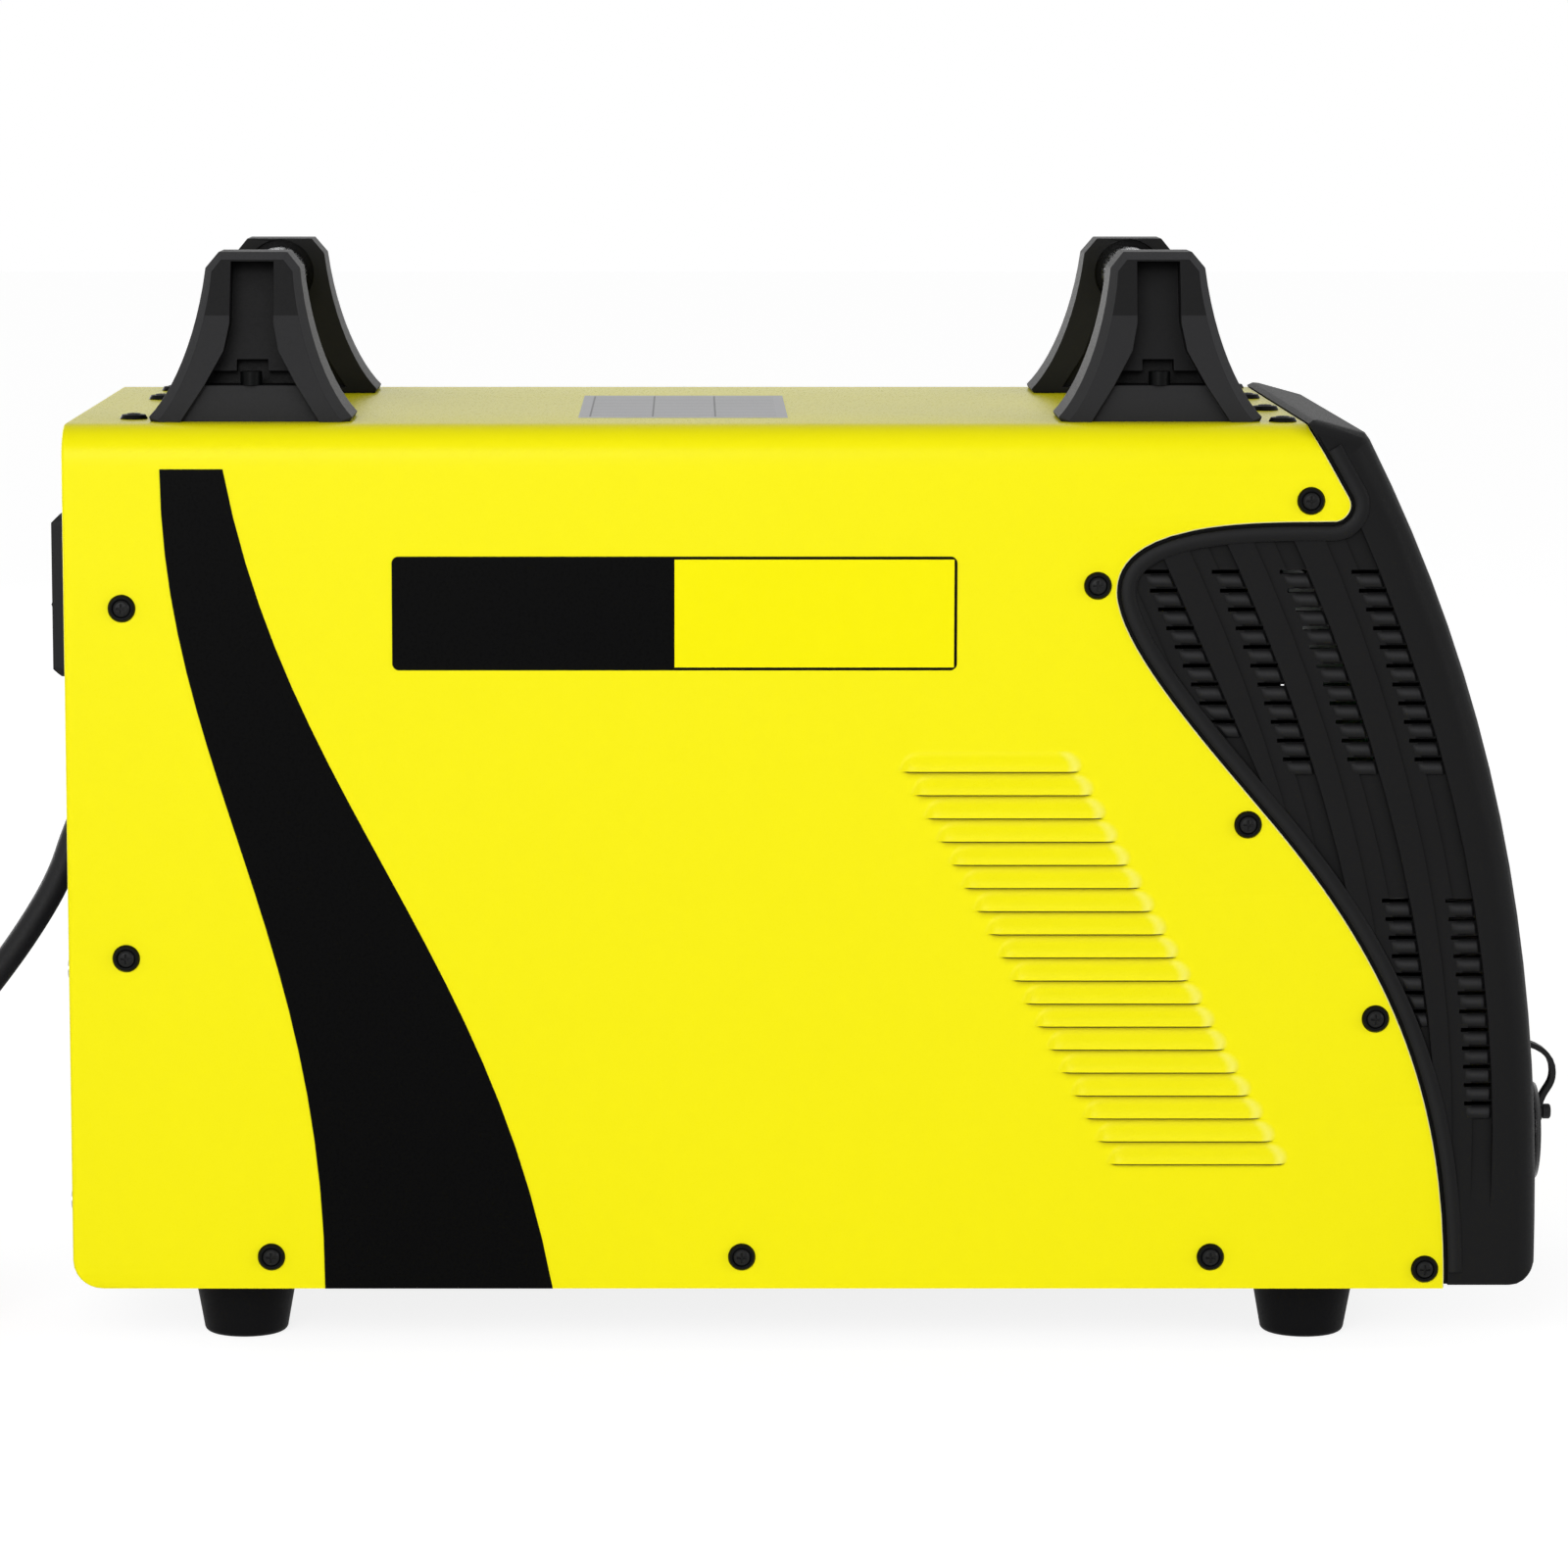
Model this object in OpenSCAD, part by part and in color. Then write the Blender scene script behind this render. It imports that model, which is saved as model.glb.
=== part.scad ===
// Inverter plasma cutter power source: folded sheet-steel case, moulded front
// bezel with louvred wings, two carrying handles, rubber feet, supply lead and
// the main assemblies inside. Millimetres. +X is the front, +Z is up, and the
// origin is on the floor under the middle of the machine.

/* [Case] */
// Length from the rear edge of the cover to the foremost point of the bezel
case_len = 650; // [640:5:700]
// Width over the two sides of the cover
case_w = 300; // [290:2:330]
// Height of the cover from its lower edge to its top
case_h = 384; // [370:2:410]
// Thickness of the cover and of the other folded sheets
sheet_t = 1.2; // [1:0.1:1.5]
// Outer radius of the cover's two long bends
bend_r = 15; // [12:0.5:18]
// Radius of the cover's rear lower corners
rear_corner_r = 12.5; // [5:0.5:16]
// Width of the inward flange round the cover's rear edge
rear_flange_w = 10; // [8:0.5:12]
// Thickness of the tray's steel
tray_t = 1.5; // [1.2:0.1:2]
// Height of the tray's side flanges
tray_flange_h = 27; // [22:1:34]
// Gap between a sheet and the one that it slides into
sheet_gap = 0.4; // [0.3:0.1:0.6]

/* [Feet] */
// Height of a rubber foot
foot_h = 28.3; // [20:0.1:34]
// Radius of a foot where it meets the tray
foot_top_r = 23; // [20:0.5:26]
// Radius of a foot near the floor
foot_low_r = 19; // [16:0.5:20]
// Distance from the rear edge to the rear feet
foot_rear_x = 73.7; // [60:0.1:90]
// Distance from the bezel's front to the front feet
foot_front_dx = 98.4; // [85:0.1:115]
// Distance of the feet from the middle plane
foot_y = 105; // [95:1:115]

/* [Louvres in the cover] */
// Number of louvres on each side
louvre_count = 18; // [12:1:20]
// Length of one louvre
louvre_len = 75; // [60:1:80]
// Height from one louvre to the next
louvre_pitch = 10.31; // [9.8:0.01:10.8]
// Forward step from one louvre to the next below it
louvre_step = 5.46; // [4.5:0.01:5.6]
// Distance from the bezel's front to the rear end of the top louvre
louvre_dx = 281.2; // [280:0.1:320]
// Distance from the cover's top to the lip of the top louvre
louvre_dz = 152.4; // [140:0.1:160]
// How far a louvre stands out of the side
louvre_out = 3; // [2:0.5:3.5]
// Height of one louvre's hood
louvre_h = 7; // [5:0.5:8]

/* [Bezel] */
// Wall of the moulded bezel
bezel_t = 3; // [2.5:0.5:4]
// Radius that rounds the bezel's front edges
bezel_edge_r = 13; // [10:0.5:13]
// How far the bezel's wings stand out past the cover
wing_out = 0.8; // [0.4:0.1:1.2]
// Visible gap between the cover's front edge and the wing
wing_gap = 1.6; // [1:0.1:2.5]
// Width of the raised bead along the wing's rear edge
bead_w = 6.5; // [4:0.5:8]
// Height of one ventilation slot in the wings
slot_h = 1.8; // [1.4:0.1:2.6]
// Length of one ventilation slot
slot_len = 12.4; // [10:0.1:14]
// Height from one slot to the next
slot_pitch = 8.26; // [7.8:0.01:8.6]
// Depth of each of the two shallow steps in a wing's strips
strip_step = 0.8; // [0.4:0.1:1]

/* [Handles] */
// Distance from the rear edge to the rear handle's middle
handle_rear_x = 81.1; // [78:0.1:100]
// Distance from the bezel's front to the front handle's middle
handle_front_dx = 168.4; // [168:0.1:185]
// Height of a handle bracket
bracket_h = 73.5; // [66:0.5:80]
// Outside diameter of the handle bar
bar_d = 25; // [22:0.5:26]
// Height from the bar's middle up to the bracket's top
bar_drop = 16.3; // [15.5:0.1:18]
// Diameter of the bracket's fixing screw
bracket_screw_d = 6; // [5:1:6]

/* [Screws] */
// Diameter of the case screws' shanks
screw_d = 4; // [3:0.5:5]
// Diameter of the case screws' heads
screw_head_d = 7.6; // [7:0.1:8]
// Outside diameter of the cup washers
washer_d = 12.2; // [11:0.1:13]

/* [Front controls and sockets] */
// Depth of the steel connector panel behind the bezel's front
panel_dx = 14; // [13:0.5:16]
// Width of the two openings in the bezel's front
bay_w = 236; // [226:2:238]
// Height of the control fascia's opening, measured up the slope
fascia_h = 148; // [140:2:150]
// Diameter of the current knob
current_knob_d = 40; // [30:1:46]
// Diameter of the post-flow knob
flow_knob_d = 30; // [24:1:36]
// Travel of the air test button
button_travel = 3; // [2:0.5:4]
// Bore of the work lead socket, for a 13 mm plug pin
work_bore_d = 13.2; // [9.2:0.1:13.4]
// Bore of the torch connector
torch_bore_d = 22; // [18:0.5:26]
// Outside diameter of the control socket's barrel
control_barrel_d = 20; // [16:0.5:24]

/* [Rear fittings] */
// Size of each square fan frame
fan_size = 120; // [110:1:120]
// Depth of the fan frames
fan_depth = 38; // [32:1:38]
// Number of blades on each fan rotor
fan_blades = 7; // [5:1:9]
// Width of the power switch's hood
hood_w = 80; // [74:1:86]
// Height of the power switch's hood
hood_h = 74.7; // [70:0.1:80]
// How far the hood stands out of the rear panel
hood_out = 18.1; // [15:0.1:19]
// Angle that the switch lever turns through
lever_throw = 40; // [30:1:44]
// Diameter of the air hose tail on the inlet
barb_d = 10; // [8:0.5:12]
// Length of the air inlet outside the rear panel
inlet_len = 25.5; // [24:0.5:30]
// Diameter of the earth stud
earth_d = 6; // [5:1:8]

/* [Supply lead] */
// Diameter of the supply lead
cord_d = 12.5; // [11:0.1:12.6]
// Turns in the lower layer of the coil
coil_in = 3; // [2:1:3]
// Turns in the upper layer of the coil
coil_out = 2.5; // [1.5:1:2.5]
// Step between turns and between layers of the coil
coil_pitch = 13.2; // [13.2:0.1:13.6]
// Radius of the coil's first turn
coil_r = 90; // [90:1:96]

/* [Hidden] */

round_fn = 48;
over = 1;

// Levels and planes of the case, with X counted from the cover's rear edge.
z_bot = foot_h;
z_top = foot_h + case_h;
y_side = case_w / 2;
y_in = y_side - sheet_t;
y_panel = y_in - sheet_gap;
floor_top = z_bot + tray_t;
rear_face_x = sheet_t + 0.3;
rear_in_x = rear_face_x + 1.5;
panel_face_x = case_len - panel_dx;
panel_back_x = panel_face_x - 1.5;

// The machine's reach to the rear and the front, which centres it on X.
strap_out = 40.8;
rear_tip_x = rear_face_x - inlet_len;
front_tip_x = panel_face_x + strap_out;
x_mid = (front_tip_x + rear_tip_x) / 2;

function unit(v) = v / norm(v);
function bez(p, t) = pow(1 - t, 3) * p[0] + 3 * pow(1 - t, 2) * t * p[1]
    + 3 * (1 - t) * t * t * p[2] + pow(t, 3) * p[3];
// Points of a cubic curve, with its last point left out.
function curve(p, n) = [for (i = [0:n - 1]) bez(p, i / n)];
function arc(c, r, a0, a1, n) = [for (i = [0:n]) c + r * [cos(a0 + (a1 - a0) * i / n),
    sin(a0 + (a1 - a0) * i / n)]];
function backwards(p) = [for (i = [len(p) - 1:-1:0]) p[i]];
function left_of(v) = [-v[1], v[0]];
function mitre(a, b) = (left_of(unit(a)) + left_of(unit(b))) / (1 + unit(a) * unit(b));
// An open line moved sideways by d, to the left of its own direction.
function beside(p, d) = [for (i = [0:len(p) - 1])
    p[i] + d * mitre(p[max(i, 1)] - p[max(i, 1) - 1],
        p[min(i, len(p) - 2) + 1] - p[min(i, len(p) - 2)])];
// A closed outline drawn in by d.
function inset(p, d) = [for (i = [0:len(p) - 1])
    p[i] + d * mitre(p[i] - p[(i + len(p) - 1) % len(p)], p[(i + 1) % len(p)] - p[i])];

// Points counted back from the bezel's front, and from the top or the bottom.
function ft(dx, dz) = [case_len - dx, z_top - dz];
function fb(dx, dz) = [case_len - dx, z_bot + dz];

module place() {
    translate([-x_mid, 0, 0]) children();
}

// A shape drawn on X and Z, as thick as y0 to y1.
module slab(y0, y1) {
    translate([0, y1, 0]) rotate([90, 0, 0]) linear_extrude(y1 - y0) children();
}

// A shape drawn on Y and Z, running from x0 to x1.
module along_x(x0, x1) {
    translate([x0, 0, 0]) rotate([90, 0, 90]) linear_extrude(x1 - x0) children();
}

// Two like pieces, one on each side of the middle plane.
module both_sides() {
    for (m = [0, 1]) mirror([0, m, 0]) children();
}

// A turned piece on an axis along X, from its profile of radius and length.
module turned_x(profile, fn = round_fn) {
    rotate([0, 90, 0]) rotate_extrude($fn = fn) polygon(profile);
}

module rod_x(r, x0, x1, fn = round_fn) {
    translate([x0, 0, 0]) rotate([0, 90, 0]) cylinder(r = r, h = x1 - x0, $fn = fn);
}

module rod_y(r, y0, y1, fn = round_fn) {
    translate([0, y1, 0]) rotate([90, 0, 0]) cylinder(r = r, h = y1 - y0, $fn = fn);
}

module block(lo, hi) {
    translate(lo) cube(hi - lo);
}

// Upright section of the folded sheets: straight sides and two round bends.
module arch_section(half_w, z0, z1, r) {
    translate([-half_w, z0]) square([2 * half_w, z1 - z0 - r]);
    translate([-half_w + r, z0]) square([2 * (half_w - r), z1 - z0]);
    for (s = [-1, 1]) translate([s * (half_w - r), z1 - r]) circle(r, $fn = 64);
}

module rounded_plate(w, h, r) {
    translate([-w / 2 + r, -h / 2]) square([w - 2 * r, h]);
    translate([-w / 2, -h / 2 + r]) square([w, h - 2 * r]);
    for (a = [-1, 1], b = [-1, 1])
        translate([a * (w / 2 - r), b * (h / 2 - r)]) circle(r, $fn = 32);
}

// ---- The line where the cover ends and the wing begins, from the top down.
edge_top = ft(105.4, 0);
edge_corner = [ft(87.2, 32), ft(84.7, 36.7), ft(88.9, 42.4), ft(94.1, 42.4)];
edge_shoulder = [ft(94.1, 42.4), ft(126.8, 42.4), ft(188.4, 41.2), ft(188.4, 72.7)];
edge_belly = [ft(188.4, 72.7), ft(188.4, 99.5), ft(136.1, 153.5), ft(110, 186)];
edge_leg = [ft(110, 186), ft(59.7, 248.5), fb(39.9, 76.5), fb(39.9, 0)];
edge_line = concat([edge_top], curve(edge_corner, 4), curve(edge_shoulder, 10),
    curve(edge_belly, 10), curve(edge_leg, 12), [edge_leg[3]]);

// ---- The bezel's front, from its lower end up to the lip on the cover's top.
front_bulge = 1.7;
front_curve = [fb(-front_bulge, 28.7), fb(-front_bulge, 156.1), ft(21.8, 115.1), ft(77.6, 6.8)];
front_line = concat(curve(front_curve, 16), [ft(77.6, 6.8), ft(79.8, 3.8), ft(102, -2.3)]);
nose_r = 12.5;
bezel_low = z_bot + 1.8;
front_x = case_len + front_bulge;
nose_line = arc([front_x - nose_r, bezel_low + nose_r], nose_r, -90, 0, 6);
// Outline that the bezel's rounded body is made from; its lower edge is cut square.
bezel_hull_line = concat([[case_len - 250, -over], [front_x, -over]], front_line,
    [ft(250, -2.3)]);
y_wing = y_side + wing_out;
y_web = y_side - 1.6;
y_wing_in = y_web - 2.8;

// Case screws as [x, z] on the sides, in the pieces that they hold.
screws_in_rear = [[25.6, z_top - 80.2], [25.6, z_bot + 148.7]];
screws_in_tray = [for (x = [88.4, 297.6, case_len - 144]) [x, z_bot + 14.4]];
// A screw in the bezel's edge sits this far behind the edge line.
edge_screw_back = 8.6;
function edge_screw(p, t) = let (a = bez(p, max(t - 0.01, 0)), b = bez(p, t + 0.01))
    bez(p, t) - edge_screw_back * left_of(unit(b - a));
screws_in_bezel = [ft(104.1, 33), edge_screw(edge_shoulder, 0.98),
    edge_screw(edge_belly, 0.85), edge_screw(edge_leg, 0.39), edge_screw(edge_leg, 0.96)];
side_screw_at = concat(screws_in_rear, screws_in_tray, screws_in_bezel);
// Case screws as [x, y] on the top.
top_rear_at = [for (y = [-106, 37, 106]) [28, y]];
top_front_at = [for (y = [-125.8, -44, 44, 125.8]) [case_len - 114.6, y]];
top_screw_at = concat(top_rear_at, top_front_at);
screw_grip = 8;
hole_r = screw_d / 2 + 0.1;

module side_holes(at, r = hole_r) {
    for (p = at) translate([p[0], 0, p[1]]) rod_y(r, -y_side - over, y_side + over, 24);
}

module top_holes(at, r = hole_r) {
    for (p = at) translate([p[0], p[1], z_top - 12]) cylinder(r = r, h = 14, $fn = 24);
}

// ---- Handles
bracket_base_y = [y_side - 66, y_side - 20];
bracket_top_y = [y_side - 78, y_side - 46];
bracket_half = 44.8;
bar_z = bracket_h - bar_drop;
bracket_x = [handle_rear_x, case_len - handle_front_dx];
ledge_h = 15.7;
bracket_screw_y = y_side - 32.6;
bar_socket_end_y = y_side - 60;
bar_r = bar_d / 2;

// ---- Fascia: a flat plate that leans back with the bezel's front.
fascia_low = ft(13, 201.3);
fascia_high = ft(60, 45.3);
fascia_mid = (fascia_low + fascia_high) / 2;
fascia_tilt = atan2(fascia_low[0] - fascia_high[0], fascia_high[1] - fascia_low[1]);
fascia_face = -22;
fascia_back = fascia_face - 2;
fascia_ledge = 4;
fascia_cut = [fascia_back - 2, fascia_face + 5];
fit_gap = 0.3;

// Places children on the fascia: local X is its outward normal, local Z goes up it.
module on_fascia(y = 0, v = 0) {
    translate([fascia_mid[0], 0, fascia_mid[1]]) rotate([0, -fascia_tilt, 0])
        translate([0, y, v]) children();
}

display_at = [-22, 38];
display_size = [88, 40];
lamp_at = [for (k = [0:2]) [bay_w / 2 - 56 + 20 * k, 44]];
lamp_r = 4;
current_at = [56 - bay_w / 2, -30];
flow_at = [4, -30];
toggle_at = [bay_w / 2 - 60, -30];
button_at = [bay_w / 2 - 24, -30];
button_r = 5;
shaft_r = 3;
run_fit = 0.05;
board_x = fascia_back - 17;

// ---- Lower front bay
bay_low = z_bot + 20;
bay_high = z_bot + 165;
work_at = [-80, z_bot + 58.7];
control_at = [-20, z_bot + 56.5];
torch_at = [72, z_bot + 77];
barrel_len = 28;
cap_face_x = barrel_len + 4;
button_neck = 3;
strap_root_z = z_bot + 90;

// ---- Rear
fan_y = fan_size / 2 + 5;
fan_z = floor_top + fan_size / 2 + 25;
fan_duct_r = fan_size / 2 - 3;
hood_z = z_top - 85.1;
boot_at = [40, z_bot + 208.7];
inlet_at = [y_side - 54, z_bot + 212];
earth_at = [y_side - 26, z_bot + 172];
nose_w = 54;
nose_h = 46;
breaker_h = 80;
nose_out = 9.5;
drum_r = 9;
drum_back = 7;
drum_w = 46;

// ---- Supply lead: boot, route, coil and plug.
boot_turn = 68;
boot_corner_out = 5.6;
boot_len = 22;
boot_r = 9.4;
cord_r = cord_d / 2;
boot_dir = [-cos(boot_turn), 0, -sin(boot_turn)];
boot_corner = [rear_face_x - boot_corner_out, boot_at[0], boot_at[1]];
boot_tip = boot_corner + boot_len * boot_dir;
tie_t = 1.2;
coil_z = tie_t + fit_gap + cord_r;
coil_centre = [-285, -18];
// Route of the free lead, from the boot down to the coil on the floor.
run_points = concat([boot_tip, boot_tip + 13 * boot_dir],
    [[-23, 40, 189], [-32, 40, 172], [-47, 40, 149.5], [-67, 41, 124], [-92, 44, 97],
    [-122, 50, 70], [-158, 58, 44], [-196, 65, 23], [-232, 70, 11.5]],
    [[coil_centre[0] + cord_d + 14, coil_centre[1] + coil_r, coil_z],
    [coil_centre[0] + cord_d, coil_centre[1] + coil_r, coil_z]]);
// Plug: its nut and its collar touch the floor, which tilts it.
plug_nut_r = 18;
collar_r = 33;
collar_x = 88;
plug_len = 128;
plug_tilt = atan2(collar_r - plug_nut_r, collar_x);
coil_end_r = coil_r + (coil_out - coil_in) * coil_pitch;
tail_len = 100;
plug_dir = [cos(plug_tilt), 0, sin(plug_tilt)];
plug_at = [coil_centre[0] + tail_len, coil_centre[1] - coil_end_r,
    plug_nut_r * cos(plug_tilt)];
loop_rings = 24;
coil_turns = coil_in + coil_out;
function coil_radius(s) = coil_r - coil_pitch * min(s, coil_in)
    + coil_pitch * max(s - coil_in, 0);
// The climb takes the half turn in which the spiral turns back outwards.
function coil_climb(s) = min(max((s - coil_in + 0.25) * 2, 0), 1);
function coil_point(s) = [coil_centre[0] + coil_radius(s) * cos(90 + 360 * s),
    coil_centre[1] + coil_radius(s) * sin(90 + 360 * s),
    coil_z + coil_pitch * (1 - cos(180 * coil_climb(s))) / 2];
coil_end = coil_point(coil_turns);
tail_curve = [coil_end, coil_end + [58, 0, 0], plug_at - (cord_d + 14) * plug_dir,
    plug_at - cord_d * plug_dir];
coil_points = concat([run_points[len(run_points) - 1]],
    [for (k = [0:coil_turns * loop_rings - 1]) coil_point(k / loop_rings)],
    curve(tail_curve, 6), [tail_curve[3], plug_at]);

// Distance from a point to the stretch from a to b.
function to_stretch(p, a, b) = let (t = min(max((p - a) * (b - a) / ((b - a) * (b - a)), 0), 1))
    norm(p - a - t * (b - a));
// Least gap of the coil to itself, between stretches half a turn or more apart.
coil_gap = min([for (i = [0:len(coil_points) - 1])
    for (j = [0:len(coil_points) - 2])
        if (abs(i - j) > loop_rings / 2)
            to_stretch(coil_points[i], coil_points[j], coil_points[j + 1])]) - cord_d;
echo(least_coil_gap_mm = coil_gap);

function along(p, i) = unit(p[min(i + 1, len(p) - 1)] - p[max(i - 1, 0)]);
function ring_at(p, i, r, sides, up) = let (t = along(p, i), u = unit(cross(t, up)), w = cross(u, t))
    [for (k = [0:sides - 1]) p[i] + r * (cos(360 * k / sides) * u + sin(360 * k / sides) * w)];

// One unbroken tube along a line of points, square at both ends.
module tube(p, r, sides, up) {
    n = len(p);
    polyhedron(points = [for (i = [0:n - 1]) each ring_at(p, i, r, sides, up)],
        faces = concat(
            [for (i = [0:n - 2], k = [0:sides - 1])
                [i * sides + k, i * sides + (k + 1) % sides, (i + 1) * sides + k]],
            [for (i = [0:n - 2], k = [0:sides - 1])
                [i * sides + (k + 1) % sides, (i + 1) * sides + (k + 1) % sides,
                (i + 1) * sides + k]],
            [for (k = [1:sides - 2]) [0, k + 1, k]],
            [for (k = [1:sides - 2]) [(n - 1) * sides, (n - 1) * sides + k,
                (n - 1) * sides + k + 1]]));
}

// ---------------------------------------------------------------- Case
cover_line = concat(arc([rear_corner_r, z_bot + rear_corner_r], rear_corner_r, 180, 270, 8),
    backwards(edge_line), [[0, z_top]]);

// One pressed louvre, seen from behind: a hood over a slot that opens downwards.
module louvre_hoods() {
    for (k = [0:louvre_count - 1])
        translate([case_len - louvre_dx + k * louvre_step, 0, z_top - louvre_dz - k * louvre_pitch])
            difference() {
                along_x(0, louvre_len) polygon([[y_in, 0], [y_side + louvre_out, 0],
                    [y_side + louvre_out, 1], [y_side, louvre_h], [y_in, louvre_h]]);
                along_x(over, louvre_len - over) polygon([[y_in - over, -over],
                    [y_side + louvre_out - 1, -over], [y_side + louvre_out - 1, 0.8],
                    [y_side - 1, louvre_h - 1], [y_in - over, louvre_h - 1]]);
            }
}

module louvre_slots() {
    for (k = [0:louvre_count - 1])
        translate([case_len - louvre_dx + k * louvre_step, 0, z_top - louvre_dz - k * louvre_pitch])
            block([over, -y_side - over, 0], [louvre_len - over, y_side + over, louvre_h - 1]);
}

// One sheet bent over the sides and the top, flanged inwards at the rear.
module cover() {
    color("gold") place() {
        difference() {
            intersection() {
                union() {
                    along_x(0, case_len) difference() {
                        arch_section(y_side, z_bot, z_top, bend_r);
                        translate([0, -over]) arch_section(y_in, z_bot, z_top - sheet_t + over,
                            bend_r - sheet_t);
                    }
                    along_x(0, sheet_t) difference() {
                        arch_section(y_side - over / 2, z_bot, z_top - over / 2, bend_r);
                        arch_section(y_in - rear_flange_w, -over, z_top - sheet_t - rear_flange_w,
                            bend_r / 2);
                    }
                }
                slab(-y_side - over, y_side + over) polygon(cover_line);
            }
            louvre_slots();
            side_holes(side_screw_at, hole_r + 0.2);
            top_holes(top_screw_at, hole_r + 0.2);
            for (x = bracket_x, s = [-1, 1])
                translate([x, s * bracket_screw_y, z_top - 3])
                    cylinder(r = bracket_screw_d / 2 + 0.3, h = 6, $fn = 24);
        }
        both_sides() louvre_hoods();
    }
}

film_t = 0.25;
stripe_rear = [[42.9, z_top - 19.2], [42.9, z_top - 149.1], [112.2, z_bot + 161.1], [112.2, z_bot]];
stripe_front = [[70.5, z_top - 19.2], [96.6, z_top - 162.6], [185.2, z_bot + 154.4], [213.5, z_bot]];

// A broad swept band of black film down each side.
module side_stripes() {
    color([0.06, 0.06, 0.06]) place() both_sides() slab(y_side, y_side + film_t)
        polygon(concat(curve(stripe_rear, 20), [stripe_rear[3]],
            backwards(concat(curve(stripe_front, 20), [stripe_front[3]]))));
}

plate_rear_x = 144;
plate_size = [247.6, 50];
plate_mid_dz = 82.4;

// A blank name plate of black film on each side.
module name_plates() {
    color([0.06, 0.06, 0.06]) place() both_sides() slab(y_side, y_side + film_t)
        translate([plate_rear_x + plate_size[0] / 2, z_top - plate_mid_dz])
            rounded_plate(plate_size[0], plate_size[1], 3);
}

tray_rear_x = rear_in_x + 0.2;
tray_front_x = case_len - 42;
tray_flange_front_x = case_len - 66;
tray_turn_r = rear_corner_r - tray_rear_x;
tray_turn = [rear_corner_r, z_bot + tray_turn_r];
tray_back_top = floor_top + 14;
rear_low = z_bot + 7;

// Folded tray; its rear edge turns up inside the cover's round lower corners.
module base_tray() {
    color([0.12, 0.12, 0.12]) place() difference() {
        union() {
            slab(-y_panel, y_panel) polygon(concat([[tray_rear_x, tray_back_top]],
                arc(tray_turn, tray_turn_r, 180, 270, 8),
                [[tray_front_x, z_bot], [tray_front_x, floor_top]],
                arc(tray_turn, tray_turn_r - tray_t, 270, 180, 8),
                [[tray_rear_x + tray_t, tray_back_top]]));
            both_sides() slab(y_panel - tray_t, y_panel)
                polygon(concat(arc(tray_turn, tray_turn_r, 180, 270, 8),
                    [[tray_flange_front_x, z_bot], [tray_flange_front_x, z_bot + tray_flange_h],
                    [tray_rear_x, z_bot + tray_flange_h]]));
        }
        side_holes(screws_in_tray);
        for (x = [foot_rear_x, case_len - foot_front_dx], s = [-1, 1])
            translate([x, s * foot_y, z_bot - over]) cylinder(r = 3.3, h = 5, $fn = 24);
    }
}

rear_top = z_top - sheet_t - sheet_gap;
rear_flange_x = 40;
rear_flange_low = z_bot + tray_flange_h + 12;

// Flanged rear plate against the tray's turned-up edge, with its cut-outs.
module rear_panel() {
    color([0.13, 0.13, 0.13]) place() difference() {
        union() {
            along_x(rear_face_x, rear_in_x)
                arch_section(y_panel, rear_low, rear_top, bend_r - sheet_t - sheet_gap);
            along_x(rear_face_x, rear_flange_x) difference() {
                arch_section(y_panel, rear_flange_low, rear_top, bend_r - sheet_t - sheet_gap);
                arch_section(y_panel - sheet_t, 0, rear_top - sheet_t,
                    bend_r - 2 * sheet_t - sheet_gap);
            }
        }
        side_holes(screws_in_rear);
        top_holes(top_rear_at);
        for (s = [-1, 1]) translate([0, s * fan_y, fan_z]) {
            rod_x(fan_duct_r, 0, rear_in_x + over, 96);
            fan_holes(0, rear_in_x + over);
        }
        block([0, -nose_w / 2 - fit_gap, hood_z - nose_h / 2 - fit_gap],
            [rear_in_x + over, nose_w / 2 + fit_gap, hood_z + nose_h / 2 + fit_gap]);
        translate([0, boot_at[0], boot_at[1]]) rod_x(boot_r - 0.2, 0, rear_in_x + over);
        translate([0, inlet_at[0], inlet_at[1]]) rod_x(barb_d / 2 + 1.6, 0, rear_in_x + over);
        translate([0, earth_at[0], earth_at[1]]) rod_x(earth_d / 2 + 0.1, 0, rear_in_x + over);
    }
}

// ---------------------------------------------------------------- Front bezel
// Right-hand edge of strip k of a wing, i rows of slots below the first row.
strip_dx = [[165.4, 3.7, 0], [134.7, 3.75, 0.052], [105, 3.62, 0.0535], [73.6, 3.45, 0.055]];
slot_top_dz = 64.1;
function strip_x(k, i) = case_len - strip_dx[k][0] + strip_dx[k][1] * i - strip_dx[k][2] * i * i;
function strip_z(i) = z_top - slot_top_dz - slot_pitch * i;
// Groups of slots as [strip, first row, number of rows].
slot_groups = [[0, 0, 9], [1, 0, 11], [2, 0, 11], [3, 0, 11], [2, 17.6, 7], [3, 17.6, 12]];
strip_rows = [for (i = [-3:3:36]) i];
strip_w = 27;
strip_low = z_bot + 36;

// Side outline of the bezel, from d in front of the cover's edge.
module wing_outline(d) {
    intersection() {
        polygon(concat(beside(edge_line, d), nose_line, front_line));
        translate([0, bezel_low]) square([front_x + over, case_h]);
    }
}

// Region of a wing in front of its bead.
module strip_region() {
    polygon(concat(beside(edge_line, wing_gap + bead_w), [[front_x, z_bot], [front_x, z_top]]));
}

// Shallow recess in the strips: level 1 is their front half, level 2 the part at the slots.
module strip_recess(level) {
    intersection() {
        strip_region();
        for (k = [0:3])
            polygon(concat([for (i = strip_rows) [strip_x(k, i), strip_z(i)]],
                backwards([for (i = strip_rows) [strip_x(k, i) - strip_w * (3 - level) / 3,
                    strip_z(i)]])));
        translate([0, strip_low]) square([case_len, z_top - 44 - strip_low]);
    }
}

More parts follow.
